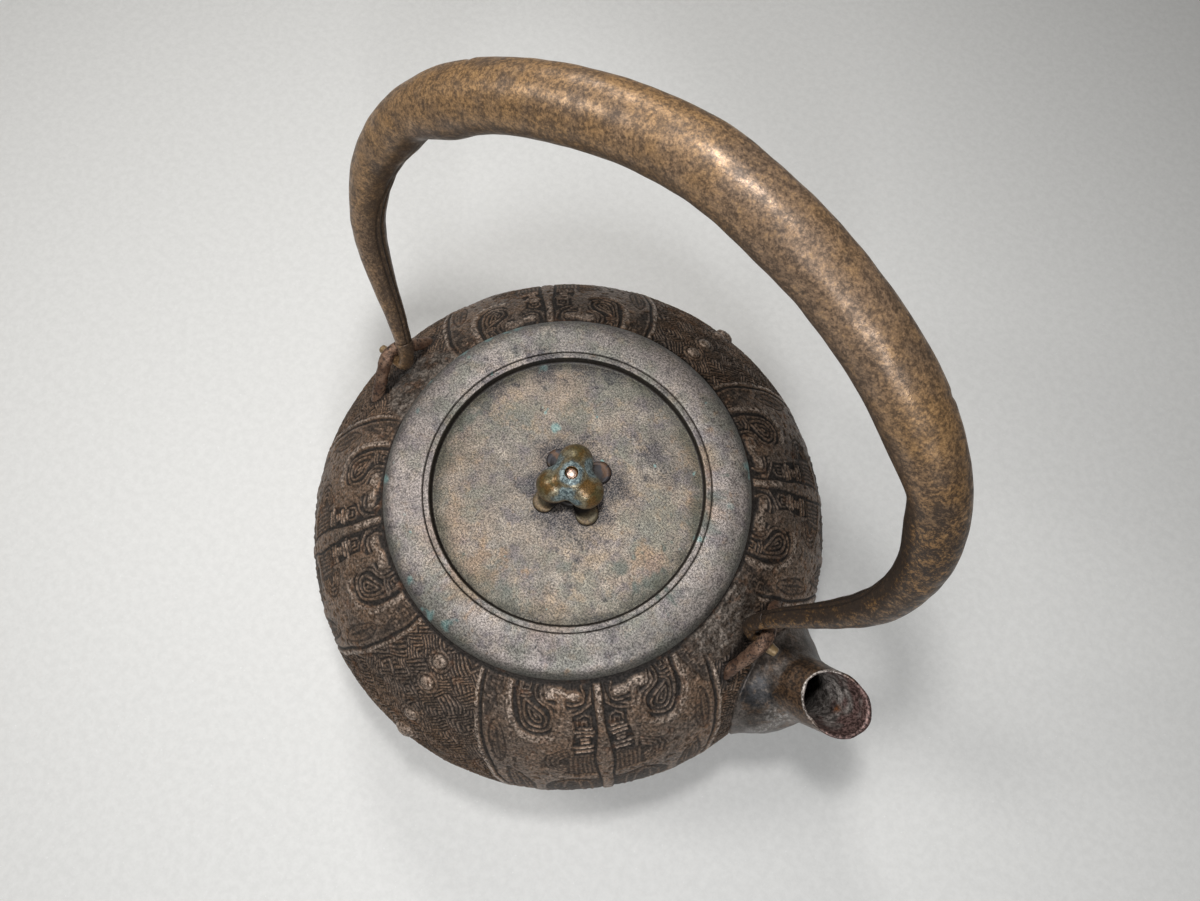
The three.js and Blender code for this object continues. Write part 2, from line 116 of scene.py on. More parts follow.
# Lid, with its knob and rivet
LID_INSET = 1
LID_EDGE_HEIGHT = 1.2
LID_RIM_RISE = 6.3
LID_RIM_SHOULDER = 8.5
LID_RIM_FLAT = 4
LID_GROOVE_DEPTH = 0.9
LID_BEAD_WIDTH = 1.6
LEDGE_WIDTH = 1.75
LEDGE_DROP = 0.4
LID_SINK = 2.4
LID_THICKNESS = 2.6
SPIGOT_PLAY = 0.8
SPIGOT_DEPTH = 6
SPIGOT_WALL = 2.4
KNOB_PLACE = (1, 0.8, 0)
PETAL_COUNT = 4
PETAL_REACH = 9.4
PETAL_RADIUS = 3.6
PETAL_TURN = math.radians(-24)
# Direction towards which the petals are painted in shade
SHADED_SIDE = (-0.1, 1, 0)
SEAT_THICKNESS = 2
SEAT_HUB_RADIUS = 6.4
LOBE_COUNT = 3
LOBE_RADIUS = 5.3
LOBE_REACH = 5.4
LOBE_HEIGHT = 7.4
LOBE_TURN = math.radians(-3)
CROWN_RADIUS = 6.2
CROWN_HEIGHT = 8.9
NECK_RADIUS = 4.6
KNOB_CAVITY_RADIUS = 4.4
KNOB_SHARPNESS = 1.8
KNOB_BOUND = 16.0
KNOB_FOOT_ANGLE = 0.55
SHANK_RADIUS = 1.3
RIVET_HEAD_RADIUS = 1.7
RIVET_HEAD_THICKNESS = 1.4
RIVET_SINK = 0.9
TAIL_RADIUS = 3
TAIL_THICKNESS = 1.8
WASHER_RADIUS = 5.5
WASHER_THICKNESS = 1
WASHER_EDGE = 0.2
GAP = 0.3
lid_radius = seat_radius - LID_INSET
rim_crest_radius = lid_radius - LID_RIM_SHOULDER
groove_radius = rim_crest_radius - LID_RIM_FLAT
lid_crest = seat_height + LID_RIM_RISE
ledge_radius = groove_radius - LID_GROOVE_DEPTH / 2 - LID_BEAD_WIDTH
disc_top = lid_crest - LID_SINK - LID_GROOVE_DEPTH
disc_bottom = disc_top - LID_THICKNESS
spigot_radius = MOUTH_RADIUS - SPIGOT_PLAY
knob_bottom = disc_top + SEAT_THICKNESS + GAP
rivet_hole = RIVET_HEAD_RADIUS + GAP
knob_top = knob_bottom + CROWN_HEIGHT + math.sqrt(CROWN_RADIUS ** 2 - rivet_hole ** 2)

# Lugs and the bail that hangs in them
LUG_BAR_RADIUS = 2.2
LUG_INSET = 19.2
LUG_SPLAY = 2.1
LUG_HALF_SPREAD = 13.2
LUG_TANG_DEPTH = 5
LUG_BOSS_RADIUS = 5.2
FOOT_SWELL = 0.6
FOOT_SWELL_REACH = 4.6
HINGE_LIFT = 7.68
HOOK_BEARING_RADIUS = 1.9
HOOK_BEND = 3.2
HOOK_TIP_LENGTH = 5.3
HOOK_TIP_RADIUS = 1.5
HOOK_TIP_EDGE = 0.5
BAIL_LEAN = math.radians(22.1)
BAIL_RISE = 120.3
BAIL_HALF_SPAN = 85.3
BAIL_SHOULDER = 52
ARCH_SQUARENESS = (1.7, 2.15)
GRIP_RADIUS = 7.75
LEG_RADIUS = 2.1
LEG_TAPER = 0.0568
BAIL_WALL = 1.3
LEG_INSET = 5.5
LEG_FULLNESS = 18
LEG_STRAIGHT = 12
TUBE_END = 0.8
SEAM_DEPTH = 0.4
SEAM_WAVES = 40
lug_foot_reach = BODY_RADIUS - LUG_INSET
lug_crown_reach = lug_foot_reach + LUG_SPLAY
leg_reach = lug_crown_reach - LEG_INSET

# Spout: oval sections from its mouth to its root, each with its distance out from the body's
# side and up from its equator, a forward tilt in degrees, half its length along the slope,
# half its width and a sideways shift
SPOUT_SECTIONS = (
    (11, 37, 0, 10.8, 9.3, -0.3),
    (6.8, 30, 20, 10.9, 9.6, -0.4),
    (2.6, 23.6, 34, 12.4, 11, -0.8),
    (-3, 15.5, 45, 20, 18.4, -2),
    (-10.5, 8.5, 52, 21.5, 22.6, -2.6),
    (-20, 1, 52, 20.5, 23, -2.6),
)
SPOUT_LIP = 1.5
SPOUT_WALL = 3
SPOUT_FLARE = 1.3
SPOUT_LIP_SHARE = 0.33
BLUED_PLACE = (82.3, -11, 71.8)
RUST_PLACE = (105, 0.5, 71.5)

# Painted reflection: places on the spout's skirt painted with pale streaks of reflected light, each with
# its reach
REFLECTION_PLACES = (
    (93.2, -12.5, 69, 7), (91, -19.1, 58.3, 4), (92.5, -16.8, 60.6, 4), (93.8, -14.3, 63, 4),
)

# Relief on the body: distances run round the body and down from the seat
RELIEF_RADIUS = 78
RELIEF_DEPTH = 0.62
RELIEF_END = 72
BORDER_WIDTH = 1.8
PIT_DEPTH = 0.45
MASK_ANGLES = (-132.7, -43.4, 41.0, 134.4)
MASK_HALF_WIDTH = 47
MASK_APART = 40.0
PATCH_HALF_WIDTH = 15
PATCH_HALF_LENGTH = 13
PATCH_MIDDLE = 3
FRET_PITCH = 1.3
FRET_TURNS = 5
FRET_FLOOR = -0.95
FRET_RISE = 0.75
FRET_WANDER = 0.45
ACROSS_WANDER = 0.22
DOWN_WANDER = 0.2
HATCH_PITCH = 1.12
STUD_RING = 0.9

# Studs: distance down, radius and height
STUD_PLACES = ((6.9, 2.3, 1.1), (15.7, 2.3, 1.2), (32, 2.4, 1.2), (43, 3.6, 2.2))


# Meshes

def add_mesh(name, points, faces, material, attributes=None):
    """A smooth mesh from points in millimetres, groups of faces and a value at each point."""
    mesh = bpy.data.meshes.new(name)
    points = np.asarray(points, np.float32) * METRES
    faces = [np.asarray(group, np.int32) for group in faces]
    corners = np.concatenate([group.ravel() for group in faces])
    sizes = np.concatenate([np.full(len(group), group.shape[1]) for group in faces])
    mesh.vertices.add(len(points))
    mesh.vertices.foreach_set("co", points.ravel())
    mesh.loops.add(len(corners))
    mesh.loops.foreach_set("vertex_index", corners)
    mesh.polygons.add(len(sizes))
    mesh.polygons.foreach_set("loop_start", np.concatenate([[0], np.cumsum(sizes)[:-1]]))
    mesh.update(calc_edges=True)
    mesh.validate()
    mesh.shade_smooth()
    for key, values in (attributes or {}).items():
        layer = mesh.attributes.new(key, "FLOAT", "POINT")
        layer.data.foreach_set("value", np.asarray(values, np.float32).ravel())
    mesh.materials.append(material)
    piece = bpy.data.objects.new(name, mesh)
    bpy.context.scene.collection.objects.link(piece)
    return piece


def ring_angles(columns):
    """Angles of points spread evenly round a ring."""
    return np.linspace(0, 2 * np.pi, columns, endpoint=False)


def grid_quads(rows, columns, wrap_rows=False):
    """Quads over rows of points that close on themselves, and whose rows may too."""
    row = np.arange(rows if wrap_rows else rows - 1)[:, None]
    column = np.arange(columns)[None, :]
    below = (row + 1) % rows
    beside = (column + 1) % columns
    corners = np.broadcast_arrays(
        row * columns + column, row * columns + beside,
        below * columns + beside, below * columns + column,
    )
    return np.stack(corners, -1).reshape(-1, 4)


def fan(centre, first, columns, flip=False):
    """Triangles from one point to a ring of points."""
    column = np.arange(columns)
    beside = (column + 1) % columns
    sides = (beside, column) if flip else (column, beside)
    return np.stack([np.full(columns, centre), first + sides[0], first + sides[1]], -1)


def capped(rings, start, end):
    """Points and faces of a closed skin over rings, with a point at each end."""
    rows, columns = rings.shape[:2]
    points = np.concatenate([rings.reshape(-1, 3), [start, end]])
    last = rows * columns
    caps = np.concatenate([
        fan(last, 0, columns, flip=True),
        fan(last + 1, (rows - 1) * columns, columns),
    ])
    return points, (grid_quads(rows, columns), caps)


def with_ends(values, start=0, end=0):
    """Values for a capped skin: one for each point of its rings, then one for each end."""
    return np.concatenate([np.asarray(values, float).ravel(), [start, end]])


def add_loop(name, rings, material, attributes=None):
    """A closed skin whose last ring joins its first, such as a tube's or a washer's."""
    faces = [grid_quads(*rings.shape[:2], wrap_rows=True)]
    return add_mesh(name, rings.reshape(-1, 3), faces, material, attributes)


def turned_rings(profile, columns):
    """Rings of points round Z, from rows of radius and height."""
    angle = ring_angles(columns)
    radius, height = np.asarray(profile, float).T[:, :, None]
    return np.stack(np.broadcast_arrays(radius * np.cos(angle), radius * np.sin(angle), height), -1)


def swept_rings(route, radii, across, sides):
    """Round rings square to a route, each starting on the side that across points to."""
    along = np.gradient(route, axis=0)
    along /= np.linalg.norm(along, axis=1, keepdims=True)
    first = across - along * (along @ across)[:, None]
    first /= np.linalg.norm(first, axis=1, keepdims=True)
    second = np.cross(along, first)
    angle = ring_angles(sides)[None, :, None]
    circle = first[:, None] * np.cos(angle) + second[:, None] * np.sin(angle)
    return route[:, None] + radii[:, None, None] * circle


def smooth_path(points, steps, closed=False):
    """Points along a smooth curve through the given ones."""
    points = np.asarray(points, float)
    if closed:
        padded = np.concatenate([points[-1:], points, points[:2]])
    else:
        padded = np.concatenate([
            [2 * points[0] - points[1]], points, [2 * points[-1] - points[-2]],
        ])
    path = []
    for a, b, c, d in zip(padded, padded[1:], padded[2:], padded[3:]):
        for step in range(steps):
            t = step / steps
            path.append(0.5 * (
                2 * b + (c - a) * t + (2 * a - 5 * b + 4 * c - d) * t ** 2
                + (3 * b - a - 3 * c + d) * t ** 3
            ))
    if not closed:
        path.append(points[-1])
    return np.array(path)


def lumps(points, size, seed):
    """Smooth unevenness between about -1 and 1, with bumps of the given size."""
    random = np.random.default_rng(seed)
    directions = random.normal(size=(LUMP_WAVES, 3))
    directions /= np.linalg.norm(directions, axis=1, keepdims=True)
    directions *= 2 * np.pi / (size * random.uniform(0.7, 1.6, (LUMP_WAVES, 1)))
    phases = random.uniform(0, 2 * np.pi, LUMP_WAVES)
    total = np.zeros(points.shape[:-1])
    for direction, phase in zip(directions, phases):
        total += np.sin(points @ direction + phase)
    return total / math.sqrt(LUMP_WAVES)


def ramp(value, low, high):
    """0 below low, 1 above high and a smooth step between."""
    share = np.clip((value - low) / (high - low), 0, 1)
    return share * share * (3 - 2 * share)


def blend(first, second, share):
    return first * (1 - share) + second * share


# Relief drawn on a flat chart: across is half a mask's width, down is from the seat

class Chart:
    """A height map over (across, down) that strokes and filled shapes are drawn on."""

    def __init__(self, width, length, cell, level):
        self.cell = cell
        self.across = np.arange(0, width, cell)[None, :]
        self.down = np.arange(0, length, cell)[:, None]
        self.height = np.full((self.down.size, self.across.size), float(level))

    def distance(self, outline, closed):
        """Distance to a line, and whether each place is inside it when it is closed."""
        stretch = body_radius_at(self.down) / RELIEF_RADIUS
        ends = np.roll(outline, -1, 0) if closed else outline[1:]
        starts = outline if closed else outline[:-1]
        nearest = np.full(self.height.shape, np.inf)
        inside = np.zeros(self.height.shape, bool)
        for (ax, ay), (bx, by) in zip(starts, ends):
            dx, dy = (bx - ax) * stretch, by - ay
            px, py = (self.across - ax) * stretch, self.down - ay
            share = np.clip((px * dx + py * dy) / (dx * dx + dy * dy + 1e-9), 0, 1)
            gap = (px - share * dx) ** 2 + (py - share * dy) ** 2
            nearest = np.minimum(nearest, gap)
            if closed and ay != by:
                crosses = (self.down >= min(ay, by)) & (self.down < max(ay, by))
                inside ^= crosses & (self.across < ax + (self.down - ay) * (bx - ax) / (by - ay))
        return np.sqrt(nearest), inside

    def curve(self, points, width, level, closed=False, edge=0.3):
        """Brings the map to a level along a smooth line through points."""
        outline = smooth_path(points, CURVE_STEPS, closed)
        self.towards(level, 1 - ramp(self.distance(outline, closed)[0], width / 2 - edge, width / 2 + edge))

    def line(self, points, width, level, edge=0.3):
        """Brings the map to a level along straight lines from point to point."""
        gap, _ = self.distance(np.asarray(points, float), False)
        self.towards(level, 1 - ramp(gap, width / 2 - edge, width / 2 + edge))

    def fill(self, points, level, smooth=True, edge=0.35):
        """Brings the map to a level inside an outline."""
        outline = smooth_path(points, CURVE_STEPS, True) if smooth else np.asarray(points, float)
        gap, inside = self.distance(outline, True)
        self.towards(level, ramp(np.where(inside, gap, -gap), -edge, edge))

    def towards(self, level, share):
        self.height += (level - self.height) * share

    def sample(self, across, down):
        """Heights between the map's cells."""
        column = np.clip(across / self.cell, 0, self.across.size - 1.001)
        row = np.clip(down / self.cell, 0, self.down.size - 1.001)
        left, top = column.astype(int), row.astype(int)
        upper, lower = (
            blend(self.height[line, left], self.height[line, left + 1], column - left)
            for line in (top, top + 1)
        )
        return blend(upper, lower, row - top)


def meridian():
    """Distance down the body's outer surface from the seat, with radius and height."""
    start = math.acos(seat_radius / BODY_RADIUS)
    end = -math.acos(BASE_RADIUS / BODY_RADIUS)
    angle = np.linspace(start, end, MERIDIAN_STEPS)
    radius = BODY_RADIUS * np.cos(angle)
    rise = np.where(angle > 0, DOME_RISE, bowl_depth)
    height = EQUATOR_HEIGHT + rise * np.sin(angle)
    down = np.concatenate([[0], np.cumsum(np.hypot(np.diff(radius), np.diff(height)))])
    return down, radius, height


MERIDIAN = meridian()


def body_radius_at(down):
    return np.interp(down, MERIDIAN[0], MERIDIAN[1])


def body_height_at(down):
    return np.interp(down, MERIDIAN[0], MERIDIAN[2])


# Levels of the relief, as shares of its depth below the crests
CREST = 0.0
PLAIN = -0.18
LINE = -0.12
HATCH = -0.3
VEIN = -0.35
BORDER_BED = -0.75
SUNK = -0.8
DEEP = -1.0

# Parts of the mask: its outer edge, the leaves' outlines, and the nose's rungs, each with its
# distance down and where it starts and ends across
MASK_EDGE = (
    (45.4, -2), (45.2, 5), (43.4, 12), (41.2, 18), (39, 25), (36.5, 31), (33.2, 40), (30.2, 48),
    (27.4, 60), (25.5, 76),
)
LEAVES = (
    ((36, 15.6), (33, 17), (30.8, 21), (29.2, 26), (29.6, 30), (31.6, 32), (34, 28.4), (36.6, 22)),
    ((28.4, 34), (25, 36.2), (22, 40), (20.2, 45), (20.4, 54), (23.6, 57), (26.4, 50), (28, 42)),
    ((2, 41), (5, 38.8), (9, 37.8), (12.6, 38.6), (16, 41), (17.4, 45), (16.2, 54), (12, 59),
     (5, 60.4), (2, 59)),
)
NOSE_RUNGS = (
    (15.2, 3.6, 7.4), (16.6, 2.6, 9.2), (18.1, 3.4, 8), (19.6, 4.6, 6.8), (20.9, 4.6, 6.8),
    (22.6, 2.6, 9.2), (24.2, 3.2, 8.6),
)


def mask_edge_at(down):
    across, depth = np.array(MASK_EDGE).T
    return np.interp(down, depth, across)


def draw_eye(chart):
    """Nested drops round a spiral, in a hollow with a heavy crescent below."""
    chart.fill([(31.6, -2), (31, 6), (29.8, 11.2), (27.2, 15.6), (24.2, 17.6), (20.6, 18), (17.2, 17),
                (15.4, 14.2), (15.2, 9.8), (17, 7.4), (20.4, 6), (21.6, 3.4), (21.2, -2)], DEEP)
    chart.curve([(22.2, -1), (22.9, 3.2), (21.6, 6), (17.6, 8.2), (16.3, 10.6), (16.3, 13), (17.6, 15.2),
                 (20.8, 16.6), (24.2, 16), (26.2, 13.6), (27.6, 10.2), (28.8, 6), (29.5, -1)], 0.75, LINE)
    chart.curve([(26.4, 6.4), (23.6, 7.8), (20.2, 9.5), (18.3, 11.4), (18.2, 13.2), (19.4, 14.6),
                 (21.4, 15), (23.8, 14.1), (25.4, 12), (26.4, 9.4)], 0.7, LINE, closed=True)
    chart.curve([(24.9, 8.6), (22.2, 10), (20.2, 11.6), (20.2, 12.9), (21.6, 13.4), (23.2, 12.4),
                 (24.2, 10.6)], 0.6, LINE, closed=True)
    chart.curve([(22.9, 10.6), (21.8, 11.6), (22, 12)], 0.6, LINE)
    chart.line([(29.4, 4.6), (26, 4.5), (24.4, 3.8)], 0.5, LINE)
    chart.line([(29.4, 5.8), (25.6, 5.5), (23.8, 4.8)], 0.5, LINE)
    chart.line([(28.2, 0.6), (28.2, 3.2), (25.4, 3), (24.6, 0.6)], 0.5, LINE)
    chart.line([(26.9, 0.4), (26.9, 1.8), (25.9, 1.8)], 0.45, LINE)
    chart.curve([(32.7, -2), (32.5, 5), (31.2, 11), (28.8, 15.6), (25, 18.9), (21, 19.6), (17.6, 18.8),
                 (15.2, 17)], 1.9, CREST, edge=0.5)


def draw_horn(chart):
    """A two-lobed cloud head on a stem, with an outline that hooks round it."""
    chart.fill([(20.4, -2), (20.4, 3), (19.2, 5.6), (16, 7), (12.4, 7.4), (11.2, 9), (9.6, 8.6), (6, 8.2),
                (4, 6.2), (3.4, -2)], DEEP)
    chart.curve([(4.6, -1), (6, 1), (5, 3.4), (5.6, 6.4), (8.4, 7.4), (11, 7)], 0.6, LINE)
    chart.curve([(20, -1), (19.8, 2.4), (18.6, 5.2)], 0.6, LINE)
    chart.line([(15.6, 3.5), (8.8, 4.3)], 2.6, PLAIN)
    chart.line([(17, 3.2), (14.2, 3.5)], 4.3, CREST, edge=0.7)
    chart.line([(9.8, 4.2), (7.8, 4.4)], 3.4, CREST, edge=0.7)
    chart.curve([(13.4, 5), (13.7, 9), (14, 13), (14.8, 17)], 2.9, PLAIN, edge=0.5)


def draw_nose(chart):
    """A column of rungs beside the centre ridge, under a small gable."""
    chart.fill([(2.2, 6), (2.2, 26), (9.4, 26), (9.6, 20.4), (8.8, 15), (9.8, 9.6)], DEEP, smooth=False)
    chart.line([(9.2, 10.4), (6, 9.2), (2.6, 6.8)], 0.7, LINE)
    chart.line([(7.8, 14), (7.8, 11.8), (5.6, 10.6), (3.6, 11.6), (3.6, 14)], 0.55, LINE)
    chart.line([(6.4, 14), (6.4, 12.7), (5, 12.7), (5, 14)], 0.5, LINE)
    for height, inner, outer in NOSE_RUNGS:
        chart.line([(inner, height), (outer, height)], 0.75, CREST, edge=0.22)


def draw_cheek(chart):
    """A pointed lozenge of nested lines, with upright hatching towards the middle."""
    lozenge = np.array([(11.6, 21.4), (18.4, 25.4), (19.7, 28.6), (18.4, 32.2), (11.6, 34.8)])
    chart.fill([*lozenge, (3.2, 36), (2.6, 26.4), (10, 26)], SUNK, smooth=False)
    centre = np.array([11.6, 28.6])
    for shrink in (0.94, 0.74, 0.54, 0.34):
        chart.line(centre + (lozenge - centre) * shrink, 0.65, LINE)
    for across in (10.2, 8.9, 7.6, 6.3, 5, 3.7):
        chart.line([(across, 27.2), (across - 0.3, 34.6)], 0.55, HATCH)


def draw_leaves(chart):
    """Sunk leaf-shaped panels, filled with lines that run along them."""
    for leaf in LEAVES:
        outline = np.array(leaf)
        chart.fill(outline, SUNK)
        centre = outline.mean(0)
        spread = outline - centre
        along = np.linalg.svd(spread)[2][0]
        aside = spread - np.outer(spread @ along, along)
        for squeeze in (0.7, 0.35):
            chart.curve(centre + (spread - aside * (1 - squeeze)) * 0.86, 0.6, VEIN, closed=True)


def draw_border(chart):
    """Ridges along the mask's outer edge, with small hooks beside them."""
    edge = np.array(MASK_EDGE)
    chart.fill([(44.6, -2), (44.2, 5), (42.2, 12), (40, 17), (37.4, 15.4), (36.4, 10), (34.4, 4),
                (34.2, -2)], BORDER_BED, smooth=False)
    for x, y in ((36.6, 1.2), (38.6, 3.6), (37.2, 6.4), (39.4, 8.6)):
        chart.line([(x - 1.2, y + 1.8), (x - 1.2, y), (x + 1.2, y), (x + 1.2, y + 1.1),
                    (x + 0.1, y + 1.1)], 0.5, LINE)
    chart.curve(edge - (3, 0), 0.6, LINE)
    chart.curve(edge - (1.6, 0), 1.1, DEEP)
    chart.curve(edge - (0.2, 0), 1.4, CREST, edge=0.4)


def draw_mask():
    """Half of one mask panel, from its centre ridge to its outer edge."""
    chart = Chart(MASK_HALF_WIDTH, RELIEF_END + 4, CHART_CELL, PLAIN)
    draw_leaves(chart)
    draw_cheek(chart)
    draw_eye(chart)
    draw_horn(chart)
    draw_nose(chart)
    draw_border(chart)
    chart.curve([(1.9, -2), (1.9, 15), (2.9, 24), (2.6, 34), (1.8, 40), (1.8, 62)], 0.9, DEEP)
    chart.line([(0, -2), (0, RELIEF_END)], 2.0, PLAIN, edge=0.6)
    chart.line([(0, -2), (0, 12)], 1.8, CREST, edge=0.6)
    return chart


def fret(x, y):
    """Diamonds of square spirals, angles and slanting lines, taking turns."""
    cell = FRET_PITCH * FRET_TURNS
    slant, other = (x + y) / math.sqrt(2), (x - y) / math.sqrt(2)
    column, row = np.round(slant / cell), np.round(other / cell)
    p, q = slant - column * cell, other - row * cell
    ring = np.maximum(np.abs(p), np.abs(q)) / FRET_PITCH
    spiral = ring + np.arctan2(q, p) / (2 * np.pi)
    kind = (2 * column + 3 * row + np.floor(column / 3) * np.floor(row / 2)) % 5
    phase = np.select(
        [kind == 0, kind == 1, kind == 2, kind == 3],
        [spiral, p / HATCH_PITCH, q / HATCH_PITCH, np.maximum(p, q) / HATCH_PITCH],
        -np.minimum(p, q) / HATCH_PITCH,
    )
    wave = 0.5 + 0.5 * np.cos(2 * np.pi * phase)
    return FRET_FLOOR + FRET_RISE * ramp(wave, 0.2, 0.85)


def fold(angle, centre):
    """The angle from a centre, between -180 and 180 degrees."""
    return (angle - centre + 180) % 360 - 180


def nearest_of(offsets):
    """Which of several offsets is smallest at each place, and that offset."""
    nearest = np.abs(offsets).argmin(0)
    return nearest, np.take_along_axis(offsets, nearest[None], 0)[0]


def with_studs(height, aside, down, shown):
    """The relief with a ringed hollow round each stud, and the studs' own height."""
    studs = np.zeros_like(height)
    for down_at, radius, rise in STUD_PLACES:
        gap = np.hypot(aside, down - down_at)
        dome = np.sqrt(np.clip(1 - (gap / radius) ** 2, 0, None))
        ring = 1 - ramp(np.abs(gap - radius - STUD_RING), 0.2, 0.6)
        studs = np.maximum(studs, np.where(shown, dome * rise, 0))
        hollow = height * 0.2 - 0.7 + 0.6 * ring
        height = np.where(shown & (gap < radius + 2 * STUD_RING), hollow, height)
    return height, studs


def relief(angle, down):
    """Height of the relief, 0 at its crests and -1 in its hollows, the studs and the plain patches."""
    reach = np.radians(1) * RELIEF_RADIUS
    stretch = body_radius_at(down) / RELIEF_RADIUS
    mask, across = nearest_of(np.stack([fold(angle, centre) * reach for centre in MASK_ANGLES]))
    wander = np.stack([across * stretch, down, mask * MASK_APART], -1)
    across = across + ACROSS_WANDER * lumps(wander, 7, 3)
    down_moved = down + DOWN_WANDER * lumps(wander, 7, 4)
    height = draw_mask().sample(np.abs(across), np.clip(down_moved, 0, None))

    middles = [(first + second) / 2 for first, second in zip(MASK_ANGLES, MASK_ANGLES[1:])]
    middles.append((MASK_ANGLES[-1] + MASK_ANGLES[0] + 360) / 2)
    sector, aside = nearest_of(np.stack([fold(angle, middle) for middle in middles]))
    aside = aside * reach * stretch
    field = fret(aside + FRET_WANDER * lumps(wander, 8, 5),
                 down_moved + FRET_WANDER * lumps(wander, 8, 6))
    outside = ramp(np.abs(across) - mask_edge_at(down), 0.3, 0.7)
    height = blend(height, field, outside)
    lug_side = (sector == 1) | (sector == 3)
    height, studs = with_studs(height, aside, down, ~lug_side)

    from_lug = np.hypot(aside / PATCH_HALF_WIDTH, (down - PATCH_MIDDLE) / PATCH_HALF_LENGTH)
    patch = np.where(lug_side, 1 - ramp(from_lug, 0.8, 1.05), 0)
    height = blend(height, -0.25 + 0.25 * lumps(wander, 5, 8), patch)
    height = blend(height, PLAIN, ramp(down, RELIEF_END - 1.5, RELIEF_END - 0.5))
    from_border = np.abs(down - RELIEF_END + BORDER_WIDTH)
    border = outside * (1 - ramp(from_border, BORDER_WIDTH * 0.25, BORDER_WIDTH * 0.55))
    height = blend(height, CREST, border)
    pitted = ramp(lumps(wander, 2.3, 13), 0.35, 1.3) * ramp(height, -0.8, -0.2)
    # The first millimetre below the seat is sunk to the hollows' level and takes their dark colour: painted
    # shadow under the lid's edge.
    height = blend(height - PIT_DEPTH * pitted, DEEP, 1 - ramp(down, 0.5, 1.1))
    return height, studs, patch


def dome_height(radius):
    return EQUATOR_HEIGHT + DOME_RISE * math.sqrt(1 - (radius / BODY_RADIUS) ** 2)


def lug_feet():
    """Where the lugs' four feet enter the shoulder."""
    return [(end * lug_foot_reach, side * LUG_HALF_SPREAD) for end in (1, -1) for side in (1, -1)]


def near_feet(points, reach):
    """1 at the lugs' feet, falling to 0 at a distance from them."""
    gaps = [np.hypot(points[..., 0] - x, points[..., 1] - y) for x, y in lug_feet()]
    return 1 - ramp(np.min(gaps, 0), reach * 0.55, reach)


def under_lugs(points):
    """Where shadow is painted on the body: 1 close under the lugs' bars, falling to 0 a little way beside
    them.
    """
    aside = np.hypot(np.abs(points[..., 0]) - lug_foot_reach,
                     np.clip(np.abs(points[..., 1]) - LUG_HALF_SPREAD, 0, None))
    return 1 - ramp(aside, LUG_BAR_RADIUS - 0.4, LUG_BAR_RADIUS + 1.8)


def outer_normals(radius, rise, angle):
    """Directions straight out of the body's outer surface."""
    squash = np.where(rise > EQUATOR_HEIGHT, DOME_RISE, bowl_depth)
    normal = np.stack([radius / BODY_RADIUS ** 2, (rise - EQUATOR_HEIGHT) / squash ** 2], -1)
    normal /= np.linalg.norm(normal, axis=1, keepdims=True)
    return np.stack([
        normal[:, :1] * np.cos(angle), normal[:, :1] * np.sin(angle),
        np.broadcast_to(normal[:, 1:], angle.shape),
    ], -1)


def body_inside(rows):
    """Radius and height of the body's inner surface, from its floor to its mouth."""
    inner_radius = BODY_RADIUS - BODY_WALL
    roof = seat_height - MOUTH_LIP
    top = math.asin((roof - EQUATOR_HEIGHT) / (DOME_RISE - BODY_WALL))
    low = -math.asin((EQUATOR_HEIGHT - FLOOR_THICKNESS) / (bowl_depth - BODY_WALL))
    turn = np.linspace(low, top, rows)
    rise = np.where(turn > 0, DOME_RISE, bowl_depth) - BODY_WALL
    return np.stack([inner_radius * np.cos(turn), EQUATOR_HEIGHT + rise * np.sin(turn)], -1)


def cut_away(piece, cutter):
    """Takes the cutter's shape out of the piece."""
    modifier = piece.modifiers.new("cut", "BOOLEAN")
    modifier.operation = "DIFFERENCE"
    modifier.solver = "MANIFOLD"
    modifier.object = cutter
    shape = piece.evaluated_get(bpy.context.evaluated_depsgraph_get())
    mesh = bpy.data.meshes.new_from_object(shape)
    piece.modifiers.clear()
    piece.data = mesh
    bpy.data.objects.remove(cutter)


def body_section(down):
    """The body's section in parts: floor, inner wall, mouth and seat, outer wall and foot."""
    inner = body_inside(INNER_ROWS)
    roof = seat_height - MOUTH_LIP
    floor = [(inner[0][0] - 6, FLOOR_THICKNESS)]
    seat = [(MOUTH_RADIUS + 0.5, roof), (MOUTH_RADIUS, roof + 0.5), (MOUTH_RADIUS, seat_height - 0.5),
            (MOUTH_RADIUS + 0.5, seat_height), (seat_radius - 0.6, seat_height)]
    outer = np.stack([body_radius_at(down), body_height_at(down)], -1)
    foot = [(BASE_RADIUS + 0.4, 1.2), (BASE_RADIUS - 0.2, 0.3), (BASE_RADIUS - 1.2, 0), (20, 0)]
    return floor, inner, seat, outer, foot


